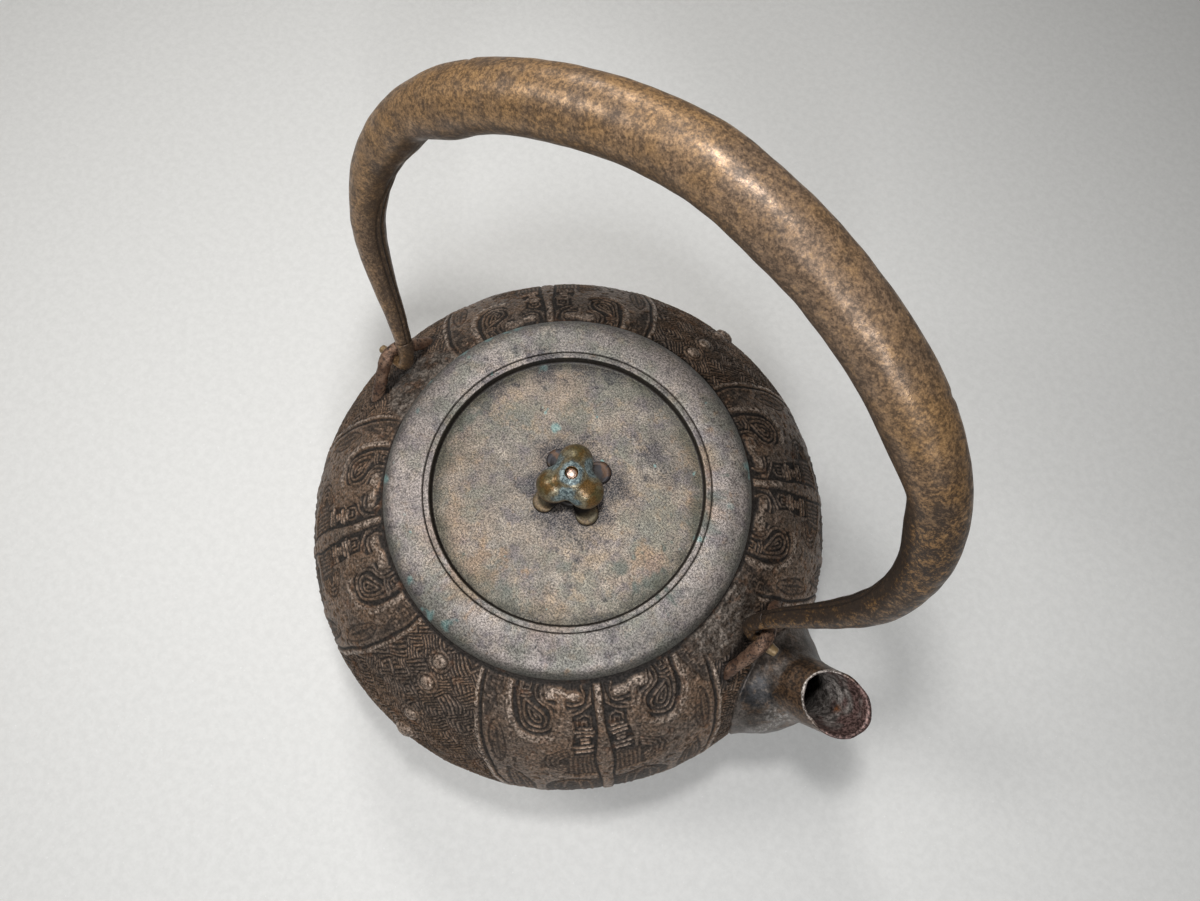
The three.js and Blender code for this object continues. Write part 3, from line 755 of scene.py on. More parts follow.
def kettle_body(material):
    """The cast body: a shell with relief on its outside, and a hole for the spout."""
    fine = np.arange(0.25, RELIEF_END + 2, FINE_STEP)
    coarse = np.arange(RELIEF_END + 4, MERIDIAN[0][-1], COARSE_STEP)
    down = np.concatenate([fine, coarse])
    floor, inner, seat, outer, foot = body_section(down)
    rings = turned_rings(np.concatenate([floor, inner, seat, outer, foot]), BODY_COLUMNS)
    lined = len(floor) + len(inner)
    walls = rings[len(floor):lined]
    bosses = near_feet(walls, LUG_BOSS_RADIUS + 2) * (walls[..., 2] > EQUATOR_HEIGHT)
    walls[..., 2] -= bosses * (LUG_TANG_DEPTH + 1)
    outside = slice(lined + len(seat), lined + len(seat) + len(outer))
    shell = rings[outside]
    grid_angle, grid_down = np.meshgrid(np.degrees(ring_angles(BODY_COLUMNS)), down)
    height, studs, patch = relief(grid_angle, grid_down)
    outward = outer_normals(*outer.T, np.radians(grid_angle))
    swell = FOOT_SWELL * near_feet(shell, FOOT_SWELL_REACH) * (shell[..., 2] > EQUATOR_HEIGHT)
    sand = 0.035 * lumps(shell, 1.3, 11) + 0.04 * lumps(shell, 3, 14) + 0.07 * lumps(shell, 14, 12)
    shell += outward * (height * RELIEF_DEPTH + studs - 0.12 + sand + swell)[..., None]
    # Every surface but the outer relief takes the hollows' dark colour; on the seat round the mouth this is
    # painted shadow under the lid's edge.
    shade = np.full(rings.shape[:2], DEEP)
    shade[outside] = np.where(studs > 0.1, -0.05, height)
    plain = np.zeros(rings.shape[:2])
    plain[outside] = patch
    inside = np.zeros(rings.shape[:2])
    inside[:lined] = 1
    points, faces = capped(rings, (0, 0, FLOOR_THICKNESS), (0, 0, 0))
    body = add_mesh("body_relief", points, faces, material, {
        "relief": with_ends(shade + 1),
        "patch": with_ends(plain),
        # Shadow painted on the shoulder close under the lugs' bars
        "painted_shade": with_ends(under_lugs(rings) * (rings[..., 2] > EQUATOR_HEIGHT)),
        "inside": with_ends(inside, 1, 0),
    })
    hole = spout_rings(-SPOUT_WALL / 2)
    cutter = add_mesh("spout_hole", *capped(hole, hole[0].mean(0), hole[-1].mean(0)), material)
    cut_away(body, cutter)
    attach(body, "kettle")
    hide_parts("kettle_body")


# Spout

def spout_rings(grow):
    """The spout's sections with smooth ones between them, offset outwards or inwards."""
    sections = smooth_path(SPOUT_SECTIONS, SPOUT_STEPS)
    out, up, tilt, half, side, shift = (column[:, None] for column in sections.T)
    slope = np.radians(tilt)
    angle = ring_angles(SPOUT_SIDES)[None, :]
    forward = (half + grow) * np.cos(angle)
    return np.stack([
        BODY_RADIUS + out + forward * np.cos(slope),
        shift + (side + grow) * np.sin(angle),
        EQUATOR_HEIGHT + up - forward * np.sin(slope),
    ], -1)


def inside_body(points, depth):
    """Roughly the distance outside the body's shape drawn in by a depth, negative inside."""
    rise = points[..., 2] - EQUATOR_HEIGHT
    tall = np.where(rise > 0, DOME_RISE, bowl_depth) - depth
    wide = BODY_RADIUS - depth
    share = np.sqrt((np.hypot(points[..., 0], points[..., 1]) / wide) ** 2 + (rise / tall) ** 2)
    return (share - 1) * wide * 0.8


def down_to_body(rings, rows, depth):
    """The same skin with its rows spread evenly from the mouth to the body at a depth."""
    level = inside_body(rings, depth)
    # The last ring counts as inside, so that every column ends somewhere
    level[-1] = np.minimum(level[-1], -0.01)
    first = np.argmax(level < 0, axis=0)
    columns = np.arange(rings.shape[1])
    above, below = level[first - 1, columns], level[first, columns]
    end = first - 1 + above / (above - below)
    place = end[None, :] * np.linspace(0, 1, rows)[:, None]
    row = np.clip(place.astype(int), 0, len(rings) - 2)
    return blend(rings[row, columns], rings[row + 1, columns], (place - row)[..., None])


def near_place(points, place, reach):
    """1 at a place, falling to 0 at a distance from it."""
    return 1 - ramp(np.linalg.norm(points - np.array(place), axis=-1), reach * 0.3, reach)


def spout(material):
    """The cast spout: lip, neck and a skirt that widens on to the body."""
    share = np.linspace(0, 1, (len(SPOUT_SECTIONS) - 1) * SPOUT_STEPS + 1)
    thick = np.clip(share / SPOUT_LIP_SHARE, 0, 1)[:, None]
    inboard = 0.5 - 0.5 * np.cos(ring_angles(SPOUT_SIDES)[None, :])
    wall = SPOUT_LIP * (1 - 0.45 * inboard * (1 - thick)) + (SPOUT_WALL - SPOUT_LIP) * thick
    outer = down_to_body(spout_rings(0), SPOUT_ROWS, BODY_WALL)
    flare = SPOUT_FLARE * np.exp(-np.abs(inside_body(outer, 0)) / SPOUT_FLARE)[..., None]
    flare[:SPOUT_ROWS // 2] = 0
    sideways = outer - outer.mean(1, keepdims=True)
    sideways /= np.linalg.norm(sideways, axis=-1, keepdims=True)
    outer += flare * sideways
    outer += sideways * (0.1 * lumps(outer, 5, 21) + 0.14 * lumps(outer, 15, 22) - 0.1)[..., None]
    inner = down_to_body(spout_rings(-wall), SPOUT_ROWS, BODY_WALL)
    inner += 0.08 * lumps(inner, 4, 23)[..., None]
    lip = (outer[0] + inner[0]) / 2
    lip[:, 2] += 0.3 + 0.12 * lumps(lip, 6, 24)
    rings = np.concatenate([[lip], outer, inner[::-1]])
    inside = np.zeros(rings.shape[:2])
    inside[1 + SPOUT_ROWS:] = 1
    fall = np.linspace(0, 1, SPOUT_ROWS)
    down = np.concatenate([[0], fall, fall[::-1]])[:, None]
    # Painted reflection on the skirt, strongest near each of the given places
    pale = np.max([near_place(rings, place, reach) for *place, reach in REFLECTION_PLACES], 0)
    piece = add_loop("spout_shell", rings, material, {
        "inside": inside,
        "lip": (1 - ramp(down, 0.002, 0.014)) * ramp(inboard, 0.5, 0.85),
        "outer_lip": (1 - ramp(down, 0, 0.03)) * (1 - ramp(inboard, 0.3, 0.6)),
        "near_lip": 1 - ramp(down + 0.1 * lumps(rings, 5, 25), 0.08, 0.3),
        "warm": 1 - ramp(down + 0.06 * lumps(rings, 9, 26), 0.42, 0.6),
        "blued": near_place(rings, BLUED_PLACE, 8),
        "painted_reflection": pale * (1 - inside),
        "rust_spot": near_place(rings, RUST_PLACE, 1.9),
    })
    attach(piece, "kettle")
    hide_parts("spout")


# Lid and knob

def resampled(points, spacing, soften):
    """Even steps along a line of points, with its corners eased."""
    points = np.asarray(points, float)
    run = np.concatenate([[0], np.cumsum(np.linalg.norm(np.diff(points, axis=0), axis=1))])
    places = np.linspace(0, run[-1], int(run[-1] / spacing) + 1)
    line = np.stack([np.interp(places, run, column) for column in points.T], -1)
    for _ in range(soften):
        line[1:-1] = (line[:-2] + 2 * line[1:-1] + line[2:]) / 4
    return line


def lid_profile():
    """The lid's section, from its underside round the rim and down to the disc."""
    edge = seat_height + LID_EDGE_HEIGHT
    ledge = lid_crest - LEDGE_DROP
    turn = np.linspace(0, np.pi / 2, RIM_STEPS)
    rim = np.stack([
        rim_crest_radius + LID_RIM_SHOULDER * np.cos(turn), edge + (lid_crest - edge) * np.sin(turn),
    ], -1)
    under = [(1, disc_bottom), (spigot_radius - SPIGOT_WALL, disc_bottom),
             (spigot_radius - SPIGOT_WALL, seat_height - SPIGOT_DEPTH),
             (spigot_radius, seat_height - SPIGOT_DEPTH), (spigot_radius, seat_height),
             (lid_radius - LID_EDGE_HEIGHT, seat_height)]
    line = ledge_radius + LEDGE_WIDTH
    steps = [(line + 0.9, lid_crest), (line + 0.3, lid_crest - 0.08), (line + 0.12, ledge - 0.1),
             (line, ledge - 0.4), (line - 0.12, ledge - 0.1), (line - 0.35, ledge),
             (ledge_radius + 0.3, ledge + 0.05), (ledge_radius, ledge - 0.12),
             (ledge_radius - 0.3, disc_top + 0.3), (ledge_radius - 0.75, disc_top)]
    disc = [(ledge_radius - 1, disc_top), (1, disc_top)]
    return np.concatenate([
        resampled([*under, *rim], LID_STEP, 1), resampled(steps, LEDGE_STEP, 2),
        resampled(disc, LID_STEP, 0),
    ])


# Marks on the lid, each with its place, radius and strength, and the dark ring round the knob; the last
# dark mark is painted shadow below the knob
HALO = (11.5, 18)
VERDIGRIS = (
    (-15, 12.8, 1.5, 1), (-44.1, -32.1, 1.6, 1), (39.4, 39.6, 1.8, 1), (40.5, 11.1, 1.2, 0.9),
    (-18.4, -49.9, 1.4, 0.9), (-7, -54.3, 1.4, 0.9), (-1.7, -53.4, 1.3, 0.8), (-55.6, -0.1, 1.2, 0.7),
    (-54, 14, 2.2, 0.8), (-50.4, 22, 2, 0.9), (-46, 31, 2, 0.8), (-50.9, -10.1, 0.8, 0.6),
    (-32, -36.8, 0.7, 0.5), (-30.2, 25.9, 1.4, 0.4), (42, 25, 1.6, 0.4),
)
MOSS = (
    (27.4, -9.4, 3.4, 0.9), (37.6, -7, 4.4, 1), (37.5, 16, 4, 0.9), (14, -20, 2.6, 0.6),
    (36.5, 24, 3, 0.8), (-38, -2, 3, 0.8), (-37, 6, 2.4, 0.7), (8, -37.5, 5, 0.6), (-29, -26, 3, 0.5),
)
AMBER = (
    (26.3, 31.9, 6, 0.8), (36.2, 20.1, 5, 0.9), (32.7, -2.2, 6, 0.7), (-6, -38.3, 9, 0.8),
    (-20, -33, 9, 0.5), (20, -34, 8, 0.4), (-34, -12, 8, 0.35), (-20, 26, 7, 0.3),
)
DARK_AND_KNOB_SHADOW = (
    (-37.7, 11.3, 5, 0.8), (-30.2, 25.9, 6, 0.9), (-12, 38.2, 5, 0.8), (14, 24.2, 6, 0.6),
    (-20, 34, 5, 0.7), (-36, 4, 4, 0.5), (16, -15.4, 1, 0.9), (32.7, -26.1, 5, 0.6),
    # The last mark here, (6, -6, 8, 1), is painted shadow that the knob casts on the disc
    (4, 40, 4, 0.5), (22, 22, 5, 0.4), (6, -6, 8, 1),
)


def blots(points, marks, seed):
    """How strongly a point is marked by ragged round blots."""
    ragged = 1 + 0.35 * lumps(points, 4, seed) + 0.2 * lumps(points, 1.6, seed + 1)
    total = np.zeros(points.shape[:-1])
    for x, y, radius, strength in marks:
        gap = np.hypot(points[..., 0] - x, points[..., 1] - y) * ragged
        total = np.maximum(total, strength * (1 - ramp(gap, 0.35 * radius, 1.15 * radius)))
    return total


def lid(material):
    """The bronze lid: rim, groove and bead round a disc, with a spigot below."""
    rings = turned_rings(lid_profile(), LID_COLUMNS)
    above = rings[..., 2] > disc_top - 0.5
    rings[..., 2] -= above * (0.06 + 0.05 * lumps(rings, 16, 31) + 0.012 * lumps(rings, 2.5, 32))
    radius = np.hypot(rings[..., 0], rings[..., 1])
    from_knob = np.hypot(rings[..., 0] - KNOB_PLACE[0], rings[..., 1] - KNOB_PLACE[1])
    ragged = 2.2 * lumps(rings, 9, 33) + 0.8 * lumps(rings, 3, 34)
    halo = 1 - ramp(from_knob + ragged, *HALO)
    on_disc = radius < ledge_radius
    # Painted shade: the incised line round the ledge and the foot of the ledge wall are painted nearly
    # black
    line = 1 - ramp(np.abs(radius - ledge_radius - LEDGE_WIDTH), 0.05, 0.2)
    foot = 1 - ramp(np.abs(radius - ledge_radius + 0.35), 0.15, 0.5)
    values = {
        "verdigris": blots(rings, VERDIGRIS, 35),
        "amber": blots(rings, AMBER, 37),
        "moss": blots(rings, MOSS, 43),
        # Dark blots, the dark ring round the knob, and the painted shadow below the knob
        "dark": np.maximum(blots(rings, DARK_AND_KNOB_SHADOW, 39), halo),
        # Greenish patina together with painted shade of the recess, darker towards the ledge wall
        "wall_patina_and_shade": on_disc * ramp(radius + ragged * 0.5, ledge_radius - 6.5, ledge_radius),
        # Painted shade where the rim rolls down to its outer edge
        "rim_edge_shade": ramp(radius, lid_radius - 3.2, lid_radius - 0.4),
        "groove": np.maximum(line, foot) * above,
        "disc": on_disc,
    }
    points, faces = capped(rings, (0, 0, disc_bottom), (0, 0, disc_top - 0.06))
    values = {key: with_ends(value) for key, value in values.items()}
    piece = add_mesh("lid_turned", points, faces, material, values)
    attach(piece, "lid")
    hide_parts("lid")


def petal_outline(angle):
    """Reach of the four-petalled outline at each angle, with its inner corners eased."""
    outline = np.full(angle.shape, float(SEAT_HUB_RADIUS))
    for petal in range(PETAL_COUNT):
        turn = angle - PETAL_TURN - 2 * np.pi * petal / PETAL_COUNT
        inside = PETAL_RADIUS ** 2 - (PETAL_REACH * np.sin(turn)) ** 2
        far = PETAL_REACH * np.cos(turn) + np.sqrt(np.clip(inside, 0, None))
        outline = np.where((inside > 0) & (np.cos(turn) > 0), np.maximum(outline, far), outline)
    for _ in range(PETAL_EASING):
        outline = (np.roll(outline, 1) + 2 * outline + np.roll(outline, -1)) / 4
    return outline


def knob_petals(material):
    """The thin four-petalled washer under the knob, with raised petal rims."""
    angle = ring_angles(PETAL_COLUMNS)
    outline = petal_outline(angle)
    hole = np.full(PETAL_COLUMNS, SHANK_RADIUS + GAP)
    top, bottom = disc_top + SEAT_THICKNESS, disc_top - 0.05
    rings = []
    for edge, inset, height in (
        (hole, 0, bottom), (outline, -0.3, bottom), (outline, 0, bottom + 0.5),
        (outline, -0.05, top - 0.9), (outline, -0.3, top - 0.35), (outline, -0.75, top - 0.05),
        (outline, -1.3, top), (outline, -2.1, top - 0.15), (outline, -3, top - 0.4),
        (outline, -4.2, top - 0.5), (hole, 3, top - 0.4), (hole, 0, top - 0.4),
    ):
        reach = edge + inset
        rings.append(np.stack([reach * np.cos(angle), reach * np.sin(angle), 0 * angle + height], -1))
    rings = np.array(rings)
    # Painted shade on the petals towards +Y
    shaded_side = ramp(rings @ np.array(SHADED_SIDE), -1, 3)
    # Painted shadow: black under the knob and low down the petals' edges
    hidden = 1 - ramp(np.hypot(rings[..., 0], rings[..., 1]), 8.6, 10.2)
    unshaded = ramp(rings[..., 2], top - 0.9, top - 0.3) * (1 - hidden)
    rings += KNOB_PLACE
    piece = add_loop("petal_washer", rings, material, {"shaded_side": shaded_side, "unshaded": unshaded})
    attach(piece, "lid")
    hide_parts("knob_seat")


def knob_gap(points):
    """Distance to the knob's blended crown, lobes and neck, negative inside."""
    centres = [(0, 0, CROWN_HEIGHT, CROWN_RADIUS)]
    for lobe in range(LOBE_COUNT):
        turn = LOBE_TURN + 2 * math.pi * lobe / LOBE_COUNT
        centres.append((LOBE_REACH * math.cos(turn), LOBE_REACH * math.sin(turn), LOBE_HEIGHT, LOBE_RADIUS))
    total = np.zeros(points.shape[:-1])
    for x, y, z, radius in centres:
        gap = np.sqrt(((points - (x, y, z)) ** 2).sum(-1)) - radius
        total += np.exp(-gap * KNOB_SHARPNESS)
    neck = np.hypot(points[..., 0], points[..., 1]) - NECK_RADIUS
    total += np.exp(-np.maximum(neck, points[..., 2] - LOBE_HEIGHT) * KNOB_SHARPNESS)
    return -np.log(total) / KNOB_SHARPNESS


def reach_of_skin(middle, ray):
    """How far each ray runs from the knob's middle to its skin or to its flat foot."""
    near, far = np.zeros(ray.shape[:-1]), np.full(ray.shape[:-1], KNOB_BOUND)
    for _ in range(SKIN_HALVINGS):
        half = (near + far) / 2
        outside = knob_gap(middle + ray * half[..., None]) > 0
        near, far = np.where(outside, near, half), np.where(outside, half, far)
    to_foot = LOBE_HEIGHT / np.clip(-ray[..., 2], 1e-3, None)
    return np.minimum(near, np.where(ray[..., 2] < 0, to_foot, KNOB_BOUND))


def knob_lining():
    """The knob's inside: a bore, a round hollow and the rivet head's seat."""
    top = knob_top - knob_bottom
    head_floor = top - RIVET_SINK - RIVET_HEAD_THICKNESS - GAP
    bore = SHANK_RADIUS + GAP
    tilt = math.asin(bore / KNOB_CAVITY_RADIUS)
    hollow = [(KNOB_CAVITY_RADIUS * math.sin(a), LOBE_HEIGHT - KNOB_CAVITY_RADIUS * math.cos(a))
              for a in np.linspace(tilt, math.pi - tilt, 16)]
    return [(bore, 0), *hollow, (bore, head_floor), (rivet_hole, head_floor), (rivet_hole, top - 0.5)]


def knob(material):
    """The three-lobed knob with a bored top, hollow inside."""
    angle = ring_angles(KNOB_COLUMNS)[None, :]
    start = math.atan(rivet_hole / (knob_top - knob_bottom - LOBE_HEIGHT))
    fall = np.linspace(start, math.pi - KNOB_FOOT_ANGLE, KNOB_ROWS)[:, None]
    ray = np.stack([
        np.sin(fall) * np.cos(angle), np.sin(fall) * np.sin(angle), np.cos(fall) + 0 * angle,
    ], -1)
    middle = np.array([0, 0, LOBE_HEIGHT])
    reach = reach_of_skin(middle, ray)
    skin = middle + ray * (reach - 0.05 + 0.05 * lumps(ray * 8, 5, 41))[..., None]
    crest = np.hypot(skin[..., 0], skin[..., 1])
    valley = (0.5 - 0.5 * np.cos(LOBE_COUNT * (angle - LOBE_TURN))) * ramp(crest, 2, 6)
    valley = np.maximum(valley, 1 - ramp(crest, 2.2, 5.4)) * ramp(skin[..., 2], 6, 9.5)
    lining = knob_lining()
    rings = np.concatenate([skin, turned_rings(lining, KNOB_COLUMNS)])
    rings += np.array(KNOB_PLACE) + (0, 0, knob_bottom)
    valley = np.concatenate([valley, np.zeros((len(lining), KNOB_COLUMNS))])
    piece = add_loop("knob_lobes", rings, material, {"valley": valley})
    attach(piece, "knob")
    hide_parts("knob")


def rivet(material):
    """The copper rivet, with a domed head in the knob's bore."""
    head = knob_top - RIVET_SINK
    side = head - RIVET_HEAD_THICKNESS
    tail = disc_bottom - GAP - WASHER_THICKNESS - GAP
    foot = tail - TAIL_THICKNESS
    turn = np.linspace(0, np.pi / 2, 8)[:-1]
    dome = [(RIVET_HEAD_RADIUS * math.cos(a), head - 0.75 + 0.75 * math.sin(a)) for a in turn]
    profile = [(TAIL_RADIUS * 0.55, foot), (TAIL_RADIUS * 0.9, tail - TAIL_THICKNESS * 0.72),
               (TAIL_RADIUS, tail - 0.4), (TAIL_RADIUS - 0.1, tail), (SHANK_RADIUS, tail),
               (SHANK_RADIUS, side), (RIVET_HEAD_RADIUS, side), *dome, (0.1, head)]
    points, faces = capped(turned_rings(profile, TURNED_COLUMNS), (0, 0, foot), (0, 0, head))
    piece = add_mesh("rivet_turned", points + np.array(KNOB_PLACE), faces, material)
    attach(piece, "lid")
    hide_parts("knob_rivet")


def washer(material):
    """The washer under the lid, with eased edges."""
    top = disc_bottom - GAP
    bottom = top - WASHER_THICKNESS
    hole = SHANK_RADIUS + GAP
    eased = WASHER_RADIUS - WASHER_EDGE
    profile = [(hole, bottom), (eased, bottom), (WASHER_RADIUS, bottom + WASHER_EDGE),
               (WASHER_RADIUS, top - WASHER_EDGE), (eased, top), (hole, top)]
    rings = turned_rings(profile, TURNED_COLUMNS) + np.array(KNOB_PLACE)
    piece = add_loop("washer_turned", rings, material)
    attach(piece, "lid")
    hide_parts("rivet_washer")


# Lugs and bail

def lug_route(end):
    """A staple's centre line: out of one foot, over the crown and into the other foot."""
    foot = dome_height(math.hypot(lug_foot_reach, LUG_HALF_SPREAD))
    hinge = dome_height(lug_crown_reach) + HINGE_LIFT
    crown = HOOK_BEARING_RADIUS + GAP + LUG_BAR_RADIUS
    drop = hinge - foot
    wrap = (math.pi / 2 + math.atan2(drop, LUG_HALF_SPREAD)
            - math.acos(crown / math.hypot(drop, LUG_HALF_SPREAD)))
    side = [(-LUG_HALF_SPREAD, foot - LUG_TANG_DEPTH), (-LUG_HALF_SPREAD, foot - LUG_BAR_RADIUS),
            (-LUG_HALF_SPREAD + LUG_BAR_RADIUS / 3, foot)]
    arc = [(crown * math.sin(a), hinge + crown * math.cos(a)) for a in np.linspace(-wrap, wrap, 25)]
    points = resampled([*side, *arc, *[(-y, z) for y, z in side[::-1]]], LUG_STEP, 12)
    up = np.clip((points[:, 1] - foot) / (hinge + crown - foot), 0, 1)
    reach = lug_foot_reach + (lug_crown_reach - lug_foot_reach) * up
    return np.stack([end * reach, points[:, 0], points[:, 1]], -1), up


def lug(name, end, seed, material):
    """A wrought staple, pitted, and worn where the hook swings."""
    route, up = lug_route(end)
    radii = LUG_BAR_RADIUS - 0.12 + 0.1 * lumps(route, 7, seed)
    rings = swept_rings(route, radii, np.array([1.0, 0, 0]), BAR_SIDES)
    out = rings - route[:, None]
    out /= np.linalg.norm(out, axis=-1, keepdims=True)
    pits = 0.07 * lumps(rings, 1.6, seed + 1) + 0.1 * lumps(rings, 4, seed + 2)
    rings += out * (pits - 0.05)[..., None]
    points, faces = capped(rings, route[0], route[-1])
    worn = np.broadcast_to(ramp(up, 0.7, 1)[:, None], rings.shape[:2])
    piece = add_mesh(name + "_bar", points, faces, material, {"worn": with_ends(worn)})
    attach(piece, "kettle")
    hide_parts(name)


def leg_line(shares):
    """Points on the leg's curve, across and up, from the shoulder down to the hook."""
    a, b, c, d = np.array([
        (BAIL_HALF_SPAN, BAIL_SHOULDER), (BAIL_HALF_SPAN, BAIL_SHOULDER - LEG_FULLNESS),
        (leg_reach, HOOK_BEND + LEG_STRAIGHT), (leg_reach, HOOK_BEND),
    ])
    t = np.asarray(shares)[:, None]
    return (1 - t) ** 3 * a + 3 * (1 - t) ** 2 * t * b + 3 * (1 - t) * t ** 2 * c + t ** 3 * d


def bail_line():
    """Points across and up along the grip, from the rear leg's end to the front leg's."""
    turn = np.linspace(math.pi / 2, 0, ARCH_STEPS)[:-1]
    across, up = ARCH_SQUARENESS
    arch = np.stack([
        BAIL_HALF_SPAN * np.cos(turn) ** (2 / across),
        BAIL_SHOULDER + (BAIL_RISE - BAIL_SHOULDER) * np.sin(turn) ** (2 / up),
    ], -1)
    half = np.concatenate([arch, leg_line(np.linspace(0, TUBE_END, LEG_STEPS))])
    return resampled(np.concatenate([half[:0:-1] * (-1, 1), half]), GRIP_STEP, 8)


def bail_radius(up):
    return np.minimum(GRIP_RADIUS, LEG_RADIUS + LEG_TAPER * up)


def on_bail(points):
    """Places in the kettle's frame for points in the bail's own leaning plane."""
    points = np.asarray(points, float)
    lean, upright = math.sin(BAIL_LEAN), math.cos(BAIL_LEAN)
    hinge = dome_height(lug_crown_reach) + HINGE_LIFT
    return np.stack([
        points[..., 0], points[..., 1] * upright + points[..., 2] * lean,
        hinge + points[..., 2] * upright - points[..., 1] * lean,
    ], -1)


# Dents and swellings on the bail's inner side: place as a share of its length, length along it
# in millimetres, and depth
BAIL_DENTS = (
    (0.262, 6, 1.5), (0.3, 9, -0.5), (0.34, 12, 0.3), (0.748, 7, 1.6), (0.7, 12, -0.5),
    (0.66, 9, 0.3), (0.56, 12, -0.3), (0.45, 14, 0.25), (0.79, 8, -0.3),
)

# Creases across the bail: place as a share of its length, and slant
BAIL_CREASES = ((0.333, 0.35), (0.68, -0.35))

# How much of the front leg's rust and darkness the rear leg has
REAR_LEG = 0.08


def grip_hollows(along, turn, radii):
    """Depth of the grip's dents and creases, and how strongly each place is in the seam."""
    length = GRIP_STEP * len(radii)
    inward = np.clip(-np.sin(turn), 0, 1)
    depth = 0 * along * turn
    for place, reach, amount in BAIL_DENTS:
        depth += amount * np.exp(-((along - place) * length / reach) ** 2) * inward ** 2
    for place, slant in BAIL_CREASES:
        shift = (along - place) * length - slant * (turn - np.pi * 0.75) * radii
        depth += 0.3 * np.exp(-(shift / 0.9) ** 2) * np.clip(np.sin(turn + 0.6), 0, 1)
    seam_at = (turn - np.pi * 1.5 - 0.12 * np.sin(along * SEAM_WAVES)) * radii
    seam = np.exp(-((seam_at - 0.9) / 0.35) ** 2) + 0.7 * np.exp(-((seam_at + 0.9) / 0.3) ** 2)
    seam = seam * (0.35 + 0.65 * ramp(np.abs(along - 0.5), 0.2, 0.3))
    return depth + SEAM_DEPTH * seam, seam


def bail_handle(material):
    """The hollow forged grip, with a seam down its inner side and hammered unevenness."""
    line = bail_line()
    route = np.stack([line[:, 0], 0 * line[:, 0], line[:, 1]], -1)
    radii = bail_radius(line[:, 1])
    across = np.array([0.0, 1, 0])
    outer = swept_rings(route, radii, across, GRIP_SIDES)
    out = (outer - route[:, None]) / radii[:, None, None]
    along = np.linspace(0, 1, len(route))[:, None]
    turn = ring_angles(GRIP_SIDES)[None, :]
    depth, seam = grip_hollows(along, turn, radii[:, None])
    depth += 0.12 + 0.11 * lumps(outer, 24, 51) + 0.05 * lumps(outer, 6, 52)
    outer -= out * depth[..., None]
    bore = swept_rings(route, radii - BAIL_WALL - 0.2, across, GRIP_SIDES)
    leg = np.maximum(ramp(along - 0.5, 0.17, 0.32), REAR_LEG * ramp(0.5 - along, 0.26, 0.45))
    looks = {"seam": np.clip(seam, 0, 1), "inner_side": np.clip(-np.sin(turn), 0, 1), "leg": leg}
    size = outer.shape[:2]
    piece = add_loop("bail_grip", on_bail(np.concatenate([outer, bore[::-1]])), material, {
        key: np.concatenate([np.broadcast_to(value, size), np.ones(size)]) for key, value in looks.items()
    })
    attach(piece, "bail")
    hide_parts("bail_handle")


def hook_line():
    """Points across and up along a hook, with its radius at each: shank, bend, bearing and tip."""
    shank = leg_line(np.linspace(TUBE_END, 1, HOOK_STEPS))
    radii = list(bail_radius(shank[:, 1]) - 0.02)
    points = [tuple(point) for point in shank]
    for share in np.linspace(0, 1, 9)[1:]:
        turn = math.pi / 2 * share
        points.append((leg_reach + HOOK_BEND * (1 - math.cos(turn)), HOOK_BEND * (1 - math.sin(turn))))
        radii.append(bail_radius(HOOK_BEND) * (1 - share) + HOOK_BEARING_RADIUS * share)
    end = lug_crown_reach + HOOK_TIP_LENGTH - HOOK_TIP_EDGE
    tip = np.linspace(leg_reach + HOOK_BEND, end, 14)[1:]
    points += [(reach, 0) for reach in tip]
    taper = ramp(tip, lug_crown_reach + LUG_BAR_RADIUS, end)
    radii += list(HOOK_BEARING_RADIUS + (HOOK_TIP_RADIUS - HOOK_BEARING_RADIUS) * taper)
    for turn in np.linspace(0, math.pi / 2, 7)[1:-1]:
        points.append((end + HOOK_TIP_EDGE * math.sin(turn), 0))
        radii.append(HOOK_TIP_RADIUS - HOOK_TIP_EDGE + HOOK_TIP_EDGE * math.cos(turn))
    return np.array(points), np.array(radii)


def bail_hook(name, end, seed, material):
    """The solid hook at the foot of a leg, its tip worn bright."""
    points, radii = hook_line()
    route = np.stack([end * points[:, 0], 0 * points[:, 0], points[:, 1]], -1)
    rings = swept_rings(route, radii, np.array([0.0, 1, 0]), BAR_SIDES)
    out = (rings - route[:, None]) / radii[:, None, None]
    rings -= out * (0.08 + 0.06 * lumps(rings, 3, seed) + 0.03 * lumps(rings, 1.2, seed + 1))[..., None]
    skin, faces = capped(rings, route[0], route[-1])
    past_lug = lug_crown_reach + LUG_BAR_RADIUS
    worn = np.broadcast_to(ramp(points[:, 0], past_lug - 1, past_lug + 1)[:, None], rings.shape[:2])
    inner_side = np.clip(-end * np.sin(ring_angles(BAR_SIDES)), 0, 1)
    piece = add_mesh(name + "_bar", on_bail(skin), faces, material, {
        "worn": with_ends(worn, 0, 1),
        "leg": np.full(len(skin), 1 if end > 0 else REAR_LEG),
        "inner_side": with_ends(np.broadcast_to(inner_side, rings.shape[:2])),
    })
    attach(piece, "bail")
    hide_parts(name)


# Materials

def srgb(red, green, blue):
    """A colour as it shows on screen, from 0 to 255, in the linear values that nodes take."""
    def linear(value):
        value /= 255
        return value / 12.92 if value <= 0.04045 else ((value + 0.055) / 1.055) ** 2.4
    return (linear(red), linear(green), linear(blue), 1)


